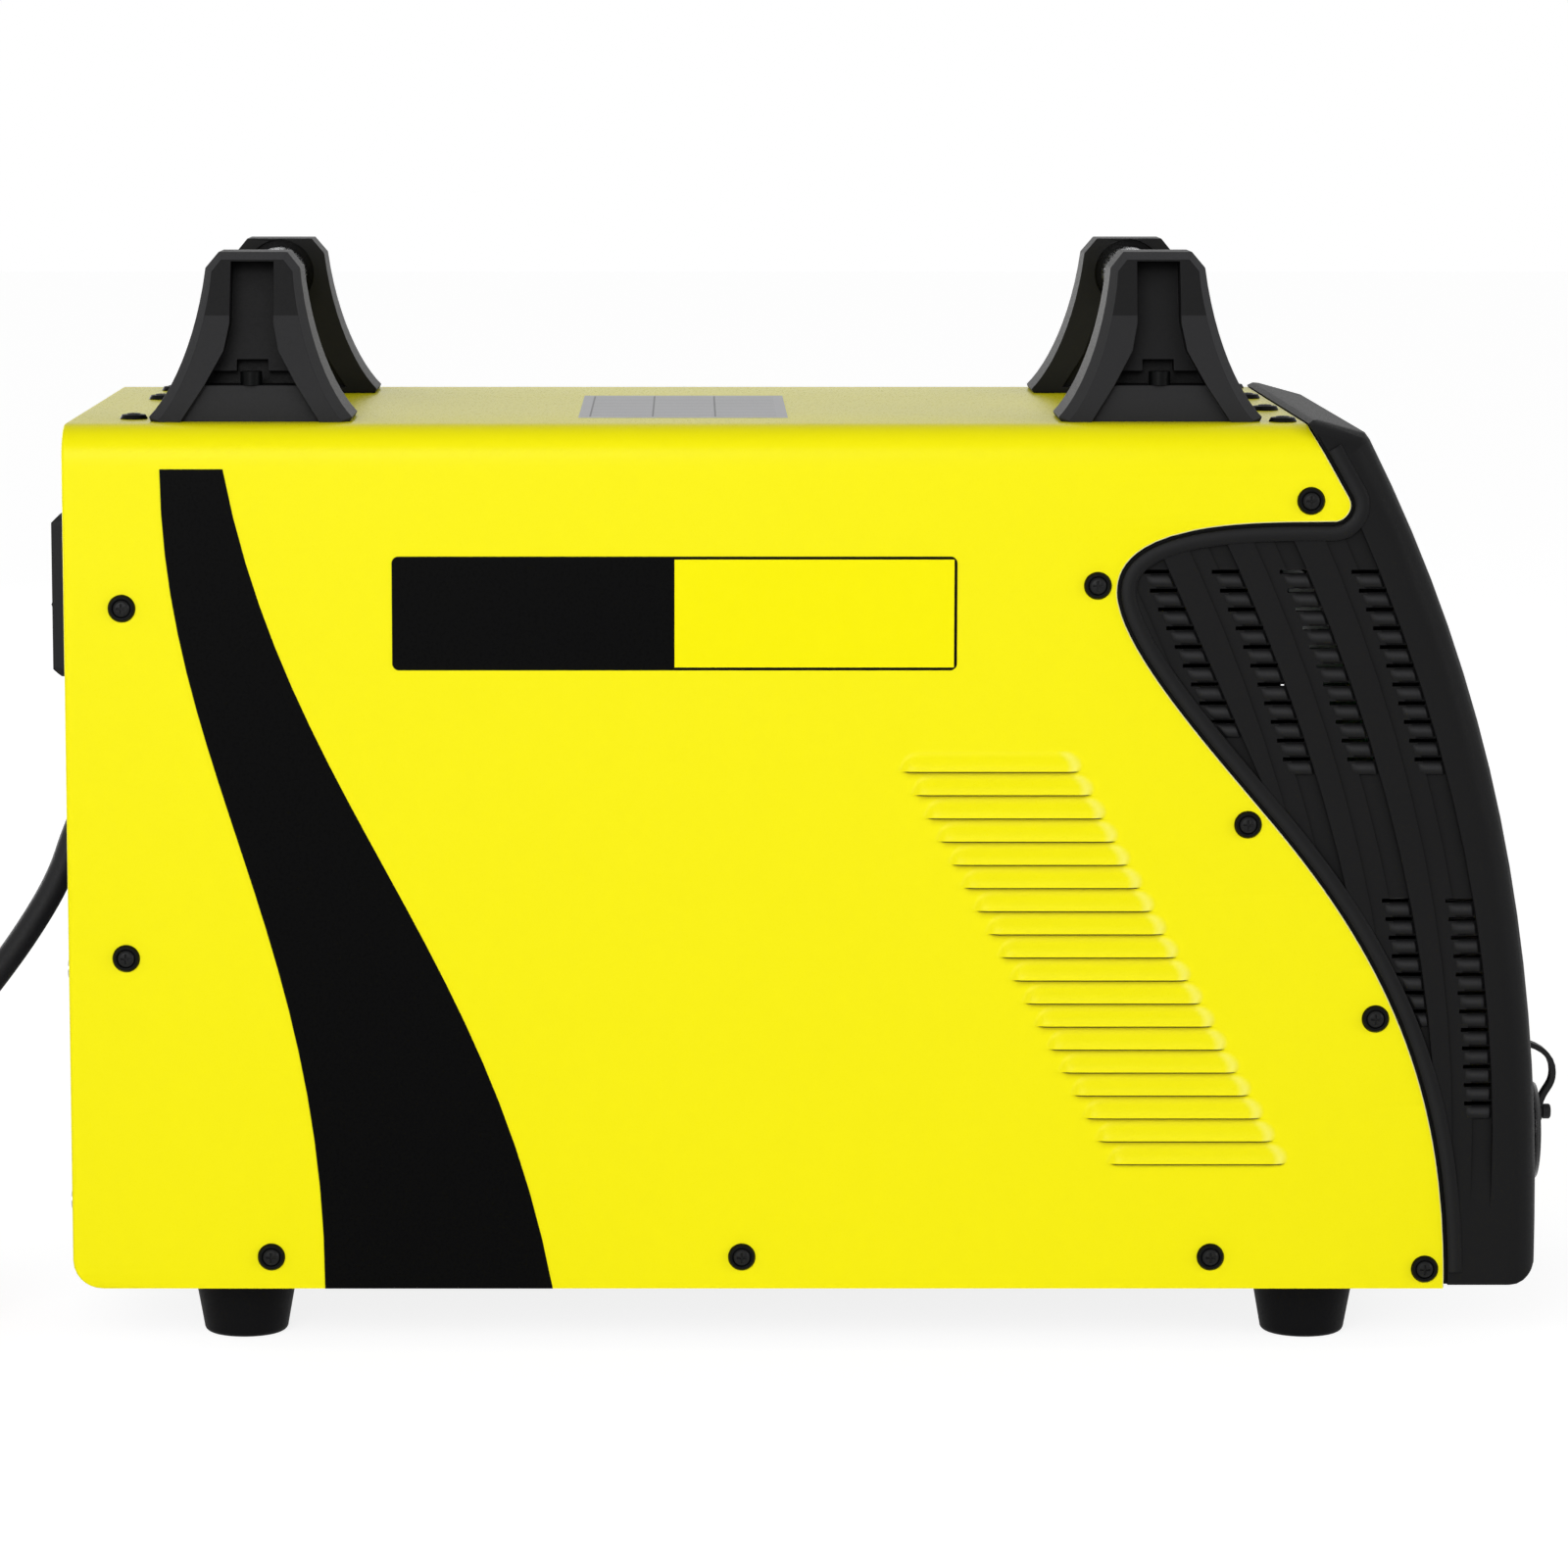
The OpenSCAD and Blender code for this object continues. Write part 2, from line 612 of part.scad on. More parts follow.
// The recess with its depth; it runs out to nothing at its lower end.
module strip_cut(level) {
    depth = level * strip_step;
    intersection() {
        slab(y_wing - depth, y_wing + over) strip_recess(level);
        along_x(0, case_len) polygon([[y_wing - depth, strip_low + 24], [y_wing - depth, z_top],
            [y_wing + over, z_top], [y_wing + over, strip_low], [y_wing, strip_low]]);
    }
}

module wing_slots() {
    intersection() {
        strip_region();
        for (g = slot_groups, j = [0:g[2] - 1]) let (i = g[1] + j)
            translate([strip_x(g[0], i) - slot_len, strip_z(i) - slot_h / 2])
                square([slot_len - 0.3, slot_h]);
    }
}

tab_r = 9;

module bezel_tabs() {
    for (p = screws_in_bezel) {
        translate(p) circle(tab_r, $fn = 32);
        translate(p) rotate(p[1] > z_top - 60 ? -45 : 0)
            translate([0, 0.5 - tab_r]) square([2 * tab_r, 2 * tab_r - 1]);
    }
}

module bezel_body() {
    intersection() {
        hull() for (a = [0:18:90], s = [-1, 1]) let (y = y_wing - bezel_edge_r * (1 - cos(a)))
            slab(s > 0 ? y - 0.01 : -y, s > 0 ? y : -y + 0.01)
                polygon(inset(bezel_hull_line, bezel_edge_r * (1 - sin(a))));
        slab(-y_wing - over, y_wing + over) wing_outline(-3);
    }
}

// Hollow of the bezel, d inside its outline; it closes under the front wall only.
module hollow(d) {
    intersection() {
        polygon(inset(bezel_hull_line, d));
        union() {
            square([panel_face_x + fit_gap, z_top + over]);
            polygon(inset(concat([[case_len - 250, bezel_low]], nose_line, front_line,
                [ft(250, -2.3)]), bezel_t));
        }
    }
}

// Boxes of plastic round the two openings, which stay when the inside is hollowed.
module bay_frames() {
    on_fascia() block([fascia_back - fascia_ledge, -bay_w / 2 - bezel_t, -fascia_h / 2 - bezel_t],
        [20, bay_w / 2 + bezel_t, fascia_h / 2 + bezel_t]);
    block([panel_face_x, -bay_w / 2 - bezel_t, bay_low - bezel_t],
        [front_x + over, bay_w / 2 + bezel_t, bay_high + bezel_t]);
}

// Room for the cover's sheet behind the edge line, round the bends and over the top.
module sheet_room() {
    difference() {
        slab(-y_wing - over, y_wing + over) intersection() {
            polygon(concat([[edge_top[0] - 8, z_top + 6]], beside(edge_line, -3.8),
                backwards(beside(edge_line, sheet_gap)), [[edge_top[0] + 0.5, z_top + 6]]));
            translate([0, z_top - bend_r - 2]) square([case_len, bend_r + 9]);
        }
        along_x(0, case_len) arch_section(y_web, z_bot, z_top - sheet_t - sheet_gap,
            bend_r - sheet_t - sheet_gap);
    }
}

lip_tab_x = case_len - 128;

// Moulded front with a louvred wing on each side and tabs under the cover.
module front_bezel() {
    color([0.11, 0.11, 0.11]) place() difference() {
        union() {
            difference() {
                bezel_body();
                difference() {
                    union() {
                        slab(-y_wing_in, y_wing_in) hollow(bezel_t + 5);
                        slab(-y_wing_in + 6.6, y_wing_in - 6.6) hollow(bezel_t);
                    }
                    bay_frames();
                }
                both_sides() slab(y_web, y_wing + over) difference() {
                    polygon(concat(beside(edge_line, -3.8), backwards(beside(edge_line, wing_gap))));
                    translate([0, z_top - 2]) square([case_len, 20]);
                }
                sheet_room();
                for (level = [1, 2]) both_sides() strip_cut(level);
            }
            both_sides() slab(y_wing_in, y_web) intersection() {
                bezel_tabs();
                translate([0, bezel_low]) square([case_len - 20, case_h]);
            }
            block([lip_tab_x, -y_side + 20, rear_top - bezel_t],
                [case_len - 97, y_side - 20, rear_top]);
            block([case_len - 101, -y_side + 20, rear_top - bezel_t],
                [case_len - 97, y_side - 20, z_top]);
        }
        side_holes(screws_in_bezel);
        top_holes(top_front_at);
        both_sides() slab(y_wing_in - 7, y_wing + over) wing_slots();
        on_fascia() {
            block([fascia_back, -bay_w / 2, -fascia_h / 2], [40, bay_w / 2, fascia_h / 2]);
            block([fascia_back - 33, -bay_w / 2 + fascia_ledge, -fascia_h / 2 + fascia_ledge],
                [fascia_face, bay_w / 2 - fascia_ledge, fascia_h / 2 - fascia_ledge]);
        }
        block([panel_face_x - over, -bay_w / 2, bay_low], [case_len + 5, bay_w / 2, bay_high]);
    }
}

panel_foot_x = case_len - 90;
foot_plate_y = y_wing_in - 8.6;

// Upright steel plate behind the lower opening, with a foot on the tray.
module front_panel() {
    color([0.2, 0.2, 0.2]) place() difference() {
        union() {
            block([panel_back_x, -foot_plate_y, floor_top],
                [panel_face_x, foot_plate_y, bay_high + 1]);
            block([panel_foot_x, -foot_plate_y, floor_top],
                [panel_face_x, foot_plate_y, floor_top + tray_t]);
        }
        translate([0, work_at[0], work_at[1]]) rod_x(15.1, panel_back_x - over, case_len);
        translate([0, control_at[0], control_at[1]])
            rod_x(control_barrel_d / 2 - 0.9, panel_back_x - over, case_len);
        translate([0, torch_at[0], torch_at[1]]) rod_x(18.1, panel_back_x - over, case_len);
    }
}

// ---------------------------------------------------------------- Controls
module control_fascia() {
    color([0.16, 0.17, 0.18]) place() on_fascia() difference() {
        block([fascia_back, -bay_w / 2 + fit_gap, -fascia_h / 2 + fit_gap],
            [fascia_face, bay_w / 2 - fit_gap, fascia_h / 2 - fit_gap]);
        translate([0, display_at[0], display_at[1]])
            block([fascia_cut[0], -display_size[0] / 2 + 5, -display_size[1] / 2 + 5],
                [fascia_cut[1], display_size[0] / 2 - 5, display_size[1] / 2 - 5]);
        for (p = [current_at, flow_at]) translate([0, p[0], p[1]])
            rod_x(shaft_r + run_fit, fascia_cut[0], fascia_cut[1], 32);
        for (p = lamp_at) translate([0, p[0], p[1]]) rod_x(lamp_r - 1, fascia_cut[0], fascia_cut[1], 32);
        translate([0, toggle_at[0], toggle_at[1]]) rod_x(4, fascia_cut[0], fascia_cut[1], 32);
        translate([0, button_at[0], button_at[1]])
            rod_x(button_r + run_fit, fascia_cut[0], fascia_cut[1], 32);
    }
}

module display_window() {
    color([0.25, 0.05, 0.05]) place() on_fascia(display_at[0], display_at[1])
        along_x(fascia_face, fascia_face + 1.6)
            rounded_plate(display_size[0], display_size[1], 3);
}

// A ribbed control knob with its shaft and a raised pointer.
module knob(d, h, ribs) {
    base = fascia_face + 0.5;
    difference() {
        union() {
            turned_x([[0, base], [d / 2, base], [d / 2, base + 3], [d / 2 - 2.5, base + 5],
                [d / 2 - 4, base + h - 1.5], [d / 2 - 5.5, base + h], [0, base + h]]);
            rod_x(shaft_r, fascia_back - 12, base + over, 32);
            block([base + h - over, -1.2, d / 2 - 14], [base + h + 0.8, 1.2, d / 2 - 5.5]);
        }
        for (a = [0:360 / ribs:359]) rotate([a + 180 / ribs, 0, 0])
            translate([0, 0, d / 2 - 1.6]) rod_x(1.3, base + 5, base + h + over, 16);
    }
}

knob_h = 18;

module current_knob() {
    color([0.05, 0.05, 0.05]) place() on_fascia(current_at[0], current_at[1])
        knob(current_knob_d, knob_h + 2, 20);
}

module post_flow_knob() {
    color([0.05, 0.05, 0.05]) place() on_fascia(flow_at[0], flow_at[1])
        knob(flow_knob_d, knob_h, 16);
}

toggle_swing = 24;
toggle_pivot = fascia_face - 1;
toggle_ball_r = 2.6;

// Bat lever of the two-position switch, thrown down at rest.
module mode_toggle() {
    color([0.8, 0.8, 0.82]) place() on_fascia(toggle_at[0], toggle_at[1])
        translate([toggle_pivot, 0, 0]) rotate([0, toggle_swing / 2, 0])
            turned_x(concat(arc([0, 0], toggle_ball_r, -90, 56, 10),
                [[1.4, 3], [1.4, 6], [2.3, 15], [2.3, 17], [1.5, 18.4], [0, 18.6]]), 32);
}

// Threaded bush that carries the toggle's ball, with its nut on the fascia.
module toggle_bush() {
    color([0.7, 0.7, 0.72]) place() on_fascia(toggle_at[0], toggle_at[1]) difference() {
        union() {
            rod_x(3.8, fascia_back - 4, fascia_face + 5, 32);
            rod_x(7, fascia_face, fascia_face + 2.2, 6);
        }
        rod_x(toggle_ball_r + run_fit, toggle_pivot - 3, fascia_face + 2, 32);
        turned_x([[0, fascia_face + 1], [toggle_ball_r + run_fit, fascia_face + 1],
            [3.4, fascia_face + 6], [0, fascia_face + 6]], 32);
    }
}

button_out = 5;

module air_test_button() {
    color([0.75, 0.1, 0.08]) place() on_fascia(button_at[0], button_at[1])
        turned_x([[0, fascia_back - 2], [button_r, fascia_back - 2],
            [button_r, fascia_face + button_out - 1], [button_r - 1, fascia_face + button_out],
            [0, fascia_face + button_out]]);
}

module indicator_lamps() {
    color([0.2, 0.6, 0.2]) place() for (p = lamp_at) on_fascia(p[0], p[1]) {
        turned_x([[0, fascia_back - 3], [lamp_r - 1.1, fascia_back - 3],
            [lamp_r - 1.1, fascia_face], [lamp_r + 0.8, fascia_face],
            [lamp_r + 0.8, fascia_face + 1], [lamp_r - 0.4, fascia_face + 1.4],
            [lamp_r - 1.4, fascia_face + 3], [0, fascia_face + 3.6]], 32);
    }
}

pot_r = 8;

// Circuit board behind the fascia, with the knobs' potentiometers and the display.
module display_board() {
    color([0.05, 0.3, 0.12]) place() on_fascia() difference() {
        union() {
            block([board_x, -100, -55], [board_x + 1.6, 108, 62]);
            for (p = [current_at, flow_at])
                translate([0, p[0], p[1]]) rod_x(pot_r, board_x + over, fascia_back);
            translate([0, button_at[0], button_at[1]])
                rod_x(button_r + 2.5, board_x + over, fascia_back);
            translate([0, display_at[0], display_at[1]])
                block([board_x + over, -display_size[0] / 2 + 8, -display_size[1] / 2 + 8],
                    [fascia_face - 0.5, display_size[0] / 2 - 8, display_size[1] / 2 - 8]);
        }
        for (p = [current_at, flow_at])
            translate([0, p[0], p[1]]) rod_x(shaft_r + run_fit, board_x + 4, fascia_face, 32);
        translate([0, button_at[0], button_at[1]]) rod_x(button_r + run_fit, board_x + 6, fascia_face, 32);
    }
}

// ---------------------------------------------------------------- Sockets
module torch_connector() {
    color([0.08, 0.08, 0.08]) place() translate([panel_face_x, torch_at[0], torch_at[1]])
        difference() {
            union() {
                along_x(0, 6) rounded_plate(56, 56, 6);
                turned_x([[0, -16], [18, -16], [18, 5], [24, 5], [24, 30], [22.5, 32], [0, 32]], 64);
            }
            rod_x(torch_bore_d / 2, 4, 33, 64);
        }
}

// Round panel socket for the work lead: its bore takes the plug's pin.
module work_socket() {
    color([0.1, 0.1, 0.1]) place() translate([panel_face_x, work_at[0], work_at[1]])
        difference() {
            turned_x([[0, -16], [15, -16], [15, 0], [20, 0], [20, 18.4], [22.4, 19.6],
                [22.85, 20.4], [22.85, 21.6], [21.6, 23.2], [0, 23.2]], 64);
            rod_x(work_bore_d / 2, 2, 25, 64);
        }
}

module control_socket() {
    color([0.75, 0.76, 0.78]) place() translate([panel_face_x, control_at[0], control_at[1]])
        turned_x([[0, -14], [control_barrel_d / 2 - 1, -14], [control_barrel_d / 2 - 1, 0],
            [control_barrel_d / 2 + 3, 0], [control_barrel_d / 2 + 3, 3],
            [control_barrel_d / 2, 4], [control_barrel_d / 2, barrel_len], [0, barrel_len]]);
}

cap_fit = 0.08;

// Rubber cap over the control socket, with a button that holds its strap.
module dust_cap() {
    r = control_barrel_d / 2;
    color([0.07, 0.07, 0.07]) place() translate([panel_face_x, control_at[0], control_at[1]])
        difference() {
            turned_x([[0, 8], [r + 2.6, 8], [r + 2.6, cap_face_x - 2], [r + 1, cap_face_x],
                [2, cap_face_x], [2, cap_face_x + button_neck], [3.5, cap_face_x + button_neck + 0.4],
                [3.5, cap_face_x + button_neck + 3.4], [2.8, cap_face_x + button_neck + 4],
                [0, cap_face_x + button_neck + 4]]);
            rod_x(r + cap_fit, 7, barrel_len + 0.4);
        }
}

strap_t = 2.4;
strap_w = 8;
strap_up = [[1.5, strap_root_z], [22, strap_root_z + 2],
    [strap_out - strap_t / 2, strap_root_z - 1], [strap_out - strap_t / 2, strap_root_z - 14.6]];
strap_down = [strap_up[3], [strap_out - strap_t / 2, strap_root_z - 22],
    [cap_face_x + 3.4, strap_root_z - 22], [cap_face_x + 1.5, control_at[1] + 2.9]];
strap_line = concat(curve(strap_up, 12), curve(strap_down, 8), [strap_down[3]]);

// Rubber strap from the panel, looped out and down to an eye round the cap's button.
module cap_strap() {
    color([0.07, 0.07, 0.07]) place() translate([panel_face_x, 0, 0]) difference() {
        union() {
            slab(control_at[0] - strap_w / 2, control_at[0] + strap_w / 2)
                polygon(concat(beside(strap_line, -strap_t / 2),
                    backwards(beside(strap_line, strap_t / 2))));
            translate([0, control_at[0], control_at[1]])
                rod_x(4.4, cap_face_x + fit_gap, cap_face_x + button_neck - fit_gap, 32);
            translate([0, control_at[0], strap_root_z]) rod_x(4.5, fit_gap, 3, 32);
        }
        translate([0, control_at[0], control_at[1]]) rod_x(2.1, cap_face_x - 2, cap_face_x + 8, 32);
        block([strap_out / 2, control_at[0] - 5, 0],
            [cap_face_x + fit_gap, control_at[0] + 5, control_at[1] + 6]);
    }
}

// ---------------------------------------------------------------- Handles
// Side outline of a bracket, flared towards its foot; x from its middle, z from the cover.
bracket_flare = [[bracket_half, 2], [35, 12], [24.5, 35], [21, bracket_h - 7]];
bracket_half_line = concat([[bracket_half - 1, 0]], curve(bracket_flare, 12),
    [[21, bracket_h - 7], [15.2, bracket_h]]);
rail_line = [[30.5, 0], [20.3, ledge_h], [12, ledge_h + 15], [9.6, ledge_h + 27],
    [9.4, bracket_h - 3.5]];

function mirrored_x(p) = concat(p, backwards([for (q = p) [-q[0], q[1]]]));

// Section of a bracket on Y and Z: both faces lean towards the middle.
function face_y(z) = bracket_base_y[1] + (bracket_top_y[1] - bracket_base_y[1]) * z / bracket_h;
function back_y(z) = bracket_base_y[0] + (bracket_top_y[0] - bracket_base_y[0]) * z / bracket_h;
recess_depth = 12;
apron_depth = 3.5;

module bracket(x) {
    translate([x, 0, z_top]) difference() {
        intersection() {
            slab(0, y_side) polygon(mirrored_x(bracket_half_line));
            along_x(-bracket_half - over, bracket_half + over) polygon([
                [face_y(0), 0], [face_y(bracket_h - 2), bracket_h - 2],
                [face_y(bracket_h) - 2.5, bracket_h], [back_y(bracket_h) + 1.5, bracket_h],
                [back_y(bracket_h - 1.5), bracket_h - 1.5], [back_y(0), 0]]);
        }
        // Recess between the rails, above the ledge.
        intersection() {
            slab(0, y_side) polygon(mirrored_x(rail_line));
            along_x(-bracket_half, bracket_half) polygon([
                [face_y(ledge_h) + 5, ledge_h], [face_y(bracket_h) + 5, bracket_h],
                [face_y(bracket_h) - recess_depth, bracket_h],
                [face_y(ledge_h) - recess_depth, ledge_h]]);
        }
        // Apron under the ledge, set back from the rails.
        intersection() {
            slab(0, y_side) polygon(mirrored_x(rail_line));
            along_x(-bracket_half, bracket_half) polygon([
                [face_y(0) + 5, -over], [face_y(ledge_h) + 5, ledge_h + 0.1],
                [face_y(ledge_h) - apron_depth, ledge_h + 0.1], [face_y(0) - apron_depth, -over]]);
        }
        // Shallow recess in the inner face.
        intersection() {
            slab(0, y_side) polygon(mirrored_x([[30, 3], [20.3, ledge_h + 3],
                [14, bar_z - bar_r - 8]]));
            along_x(-bracket_half, bracket_half) polygon([[back_y(0) - 5, 3], [back_y(0) + 4, 3],
                [back_y(40) + 4, 40], [back_y(40) - 5, 40]]);
        }
        translate([0, 0, bar_z]) rod_y(bar_r + 0.1, 0, bar_socket_end_y, 64);
        translate([0, 0, bar_z]) rod_y(bar_r + 3.2, 0, back_y(bar_z) + 4.5, 64);
        translate([0, bracket_screw_y, -over])
            cylinder(r = bracket_screw_d / 2 + 0.1, h = ledge_h + 2 * over, $fn = 24);
    }
}

module handle_bracket_rear_right() {
    color([0.1, 0.1, 0.1]) place() mirror([0, 1, 0]) bracket(bracket_x[0]);
}

module handle_bracket_rear_left() {
    color([0.1, 0.1, 0.1]) place() bracket(bracket_x[0]);
}

module handle_bracket_front_right() {
    color([0.1, 0.1, 0.1]) place() mirror([0, 1, 0]) bracket(bracket_x[1]);
}

module handle_bracket_front_left() {
    color([0.1, 0.1, 0.1]) place() bracket(bracket_x[1]);
}

bar_end_y = bar_socket_end_y - 0.2;

// Two like tubes, each held at its ends in a pair of brackets.
module handle_bars() {
    color([0.75, 0.76, 0.78]) place() for (x = bracket_x)
        translate([x, 0, z_top + bar_z]) difference() {
            rod_y(bar_r, -bar_end_y, bar_end_y, 64);
            rod_y(bar_r - 2, -bar_end_y - over, bar_end_y + over, 64);
        }
}

// Socket-head screws down through the ledges, with nuts inside the cover.
module bracket_screws() {
    r = bracket_screw_d / 2;
    color([0.2, 0.2, 0.2]) place() for (x = bracket_x, s = [-1, 1])
        translate([x, s * bracket_screw_y, z_top]) difference() {
            union() {
                translate([0, 0, -sheet_t - 7]) cylinder(r = r, h = ledge_h + sheet_t + 8, $fn = 32);
                translate([0, 0, ledge_h]) cylinder(r = r + 1.8, h = 6, $fn = 32);
                translate([0, 0, -sheet_t - 5]) cylinder(r = r * 1.9, h = 5, $fn = 6);
            }
            translate([0, 0, ledge_h + 2.6]) cylinder(r = 2.8, h = 4, $fn = 6);
        }
}

// ---------------------------------------------------------------- Feet and screws
foot_ledge = foot_h / 2;

module feet() {
    color([0.06, 0.06, 0.06]) place()
        for (x = [foot_rear_x, case_len - foot_front_dx], s = [-1, 1])
            translate([x, s * foot_y, 0]) rotate_extrude($fn = 64) polygon(concat(
                [[7, 0]], arc([foot_low_r - 3, 3], 3, -90, 0, 5),
                [[foot_top_r, foot_h - 3], [foot_top_r, foot_h], [3.3, foot_h],
                [3.3, foot_ledge], [7, foot_ledge]]));
}

module foot_screws() {
    color([0.6, 0.6, 0.62]) place()
        for (x = [foot_rear_x, case_len - foot_front_dx], s = [-1, 1])
            translate([x, s * foot_y, 0]) {
                translate([0, 0, foot_ledge - 4]) cylinder(r = 5.5, h = 4, $fn = 32);
                translate([0, 0, foot_ledge - 1]) cylinder(r = 3, h = foot_h - foot_ledge + 9, $fn = 32);
                translate([0, 0, floor_top]) cylinder(r = 5.6, h = 5, $fn = 6);
            }
}

washer_seat = 0.8;
washer_profile = [[screw_d / 2 + 0.3, 0], [washer_d / 2, 0], [washer_d / 2, 0.5],
    [washer_d / 2 - 0.9, 2], [screw_head_d / 2 + 0.3, 2], [screw_head_d / 2 + 0.3, washer_seat],
    [screw_d / 2 + 0.3, washer_seat]];
screw_profile = [[0, -screw_grip], [screw_d / 2, -screw_grip], [screw_d / 2, washer_seat],
    [screw_head_d / 2, washer_seat], [screw_head_d / 2, 1.7], [screw_head_d / 2 - 1, 2.5], [0, 2.8]];

// Pan-head screw with a cross recess, standing on Z.
module case_screw() {
    difference() {
        rotate_extrude($fn = 32) polygon(screw_profile);
        for (a = [0, 90]) rotate(a) translate([-2.2, -0.45, 1.6]) cube([4.4, 0.9, 3]);
    }
}

module cup_washer() {
    rotate_extrude($fn = 32) polygon(washer_profile);
}

module on_sides() {
    for (p = side_screw_at, s = [-1, 1])
        translate([p[0], s * y_side, p[1]]) rotate([-s * 90, 0, 0]) children();
}

module on_top() {
    for (p = top_screw_at) translate([p[0], p[1], z_top]) children();
}

module side_screws() {
    color([0.05, 0.05, 0.05]) place() on_sides() case_screw();
}

module top_screws() {
    color([0.05, 0.05, 0.05]) place() on_top() case_screw();
}

module cup_washers() {
    color([0.04, 0.04, 0.04]) place() {
        on_sides() cup_washer();
        on_top() cup_washer();
    }
}

label_x = [225, 318];
label_y = [-100, 60];

module rating_label() {
    color([0.75, 0.75, 0.72]) place() block([label_x[0], label_y[0], z_top],
        [label_x[1], label_y[1], z_top + film_t]);
}

// ---------------------------------------------------------------- Rear fittings
hood_chamfer = 3.8;

// Moulded hood round the main switch, open in the middle for its lever.
module switch_hood() {
    color([0.08, 0.08, 0.08]) place() translate([rear_face_x, 0, hood_z]) difference() {
        intersection() {
            slab(-hood_w / 2, hood_w / 2) polygon([[0, -hood_h / 2],
                [-hood_out + hood_chamfer, -hood_h / 2], [-hood_out, -hood_h / 2 + hood_chamfer],
                [-hood_out, hood_h / 2 - hood_chamfer], [-hood_out + hood_chamfer, hood_h / 2],
                [0, hood_h / 2]]);
            along_x(-hood_out - over, over) rounded_plate(hood_w, hood_h, 5);
        }
        block([-hood_out - over, -nose_w / 2 - fit_gap, -nose_h / 2 - fit_gap],
            [over, nose_w / 2 + fit_gap, nose_h / 2 + fit_gap]);
    }
}

breaker_back_x = 62;

// Three-pole breaker: a deep body inside the case and a nose through the panel.
module breaker_body() {
    color([0.85, 0.85, 0.83]) place() translate([0, 0, hood_z]) difference() {
        union() {
            block([rear_in_x, -nose_w / 2, -breaker_h / 2], [breaker_back_x, nose_w / 2, breaker_h / 2]);
            block([rear_face_x - nose_out, -nose_w / 2, -nose_h / 2],
                [rear_in_x + over, nose_w / 2, nose_h / 2]);
        }
        translate([rear_face_x - nose_out + drum_back, 0, 0])
            rod_y(drum_r + run_fit, -drum_w / 2 - fit_gap, drum_w / 2 + fit_gap, 64);
    }
}

lever_len = 19;

// Ganged lever on its drum, thrown down at rest.
module power_lever() {
    color([0.05, 0.05, 0.05]) place()
        translate([rear_face_x - nose_out + drum_back, 0, hood_z]) {
            rod_y(drum_r, -drum_w / 2, drum_w / 2, 64);
            rotate([0, -lever_throw / 2, 0])
                slab(-drum_w / 2 + 3, drum_w / 2 - 3) polygon([[0, -2.2], [0, 2.2],
                    [-lever_len + 1, 1.9], [-lever_len, 0.9], [-lever_len, -0.9],
                    [-lever_len + 1, -1.9]]);
        }
}

fan_x = rear_in_x;
hub_r = 20;
bearing_r = 6;
fan_shaft_r = 2.5;

fan_hole_y = fan_size / 2 - 7.5;
guard_reach = fan_hole_y * sqrt(2);

module fan_holes(x0, x1) {
    for (a = [-1, 1], b = [-1, 1])
        translate([0, a * fan_hole_y, b * fan_hole_y]) rod_x(2.1, x0, x1, 24);
}

module fan_frame() {
    difference() {
        union() {
            difference() {
                along_x(0, fan_depth) rounded_plate(fan_size, fan_size, 5);
                rod_x(fan_duct_r, -over, fan_depth + over, 96);
                fan_holes(-over, fan_depth + over);
            }
            rod_x(hub_r, fan_depth - 6, fan_depth);
            rod_x(bearing_r, fan_depth - 24, fan_depth - 3);
            for (a = [45:90:315]) rotate([a, 0, 0])
                block([fan_depth - 5, -3, hub_r - 2], [fan_depth, 3, fan_duct_r + 2]);
        }
        rod_x(fan_shaft_r + run_fit, fan_depth - 25, fan_depth - 1.5, 32);
    }
}

module fan_frames() {
    color([0.07, 0.07, 0.07]) place()
        for (s = [-1, 1]) translate([fan_x, s * fan_y, fan_z]) fan_frame();
}

blade_tilt = 35;

// Hub, shaft and flat pitched blades, turning on X.
module fan_rotor() {
    rod_x(fan_shaft_r, fan_depth - 28, fan_depth - 3, 32);
    difference() {
        rod_x(hub_r - 0.5, fan_depth - 32, fan_depth - 8);
        rod_x(bearing_r + 1, fan_depth - 26, fan_depth, 48);
    }
    intersection() {
        for (k = [0:fan_blades - 1]) rotate([k * 360 / fan_blades, 0, 0])
            translate([fan_depth - 20, 0, (hub_r + fan_duct_r) / 2]) rotate([0, 0, blade_tilt])
                cube([24, 2, fan_duct_r - hub_r + 2], center = true);
        difference() {
            rod_x(fan_duct_r - 1.5, fan_depth - 33, fan_depth - 8, 96);
            rod_x(hub_r - 1.5, 0, fan_depth);
        }
    }
}

module fan_rotor_right() {
    color([0.09, 0.09, 0.09]) place() translate([fan_x, -fan_y, fan_z]) fan_rotor();
}

module fan_rotor_left() {
    color([0.09, 0.09, 0.09]) place() translate([fan_x, fan_y, fan_z]) fan_rotor();
}

guard_t = 2.4;

// Finger guard of rings, spokes and four lugs over each fan's opening.
module fan_guards() {
    color([0.7, 0.7, 0.72]) place() for (s = [-1, 1]) translate([0, s * fan_y, fan_z])
        along_x(rear_face_x - guard_t, rear_face_x) difference() {
            union() {
                for (r = [fan_duct_r + 1.4:-10:12]) difference() {
                    circle(r, $fn = 96);
                    circle(r - guard_t, $fn = 96);
                }
                circle(10, $fn = round_fn);
                for (a = [45, 135]) rotate(a) {
                    square([2 * guard_reach, guard_t], center = true);
                    for (c = [-1, 1]) translate([c * guard_reach, 0]) circle(5, $fn = 32);
                }
            }
            for (a = [-1, 1], b = [-1, 1])
                translate([a * fan_hole_y, b * fan_hole_y]) circle(2.1, $fn = 24);
        }
}

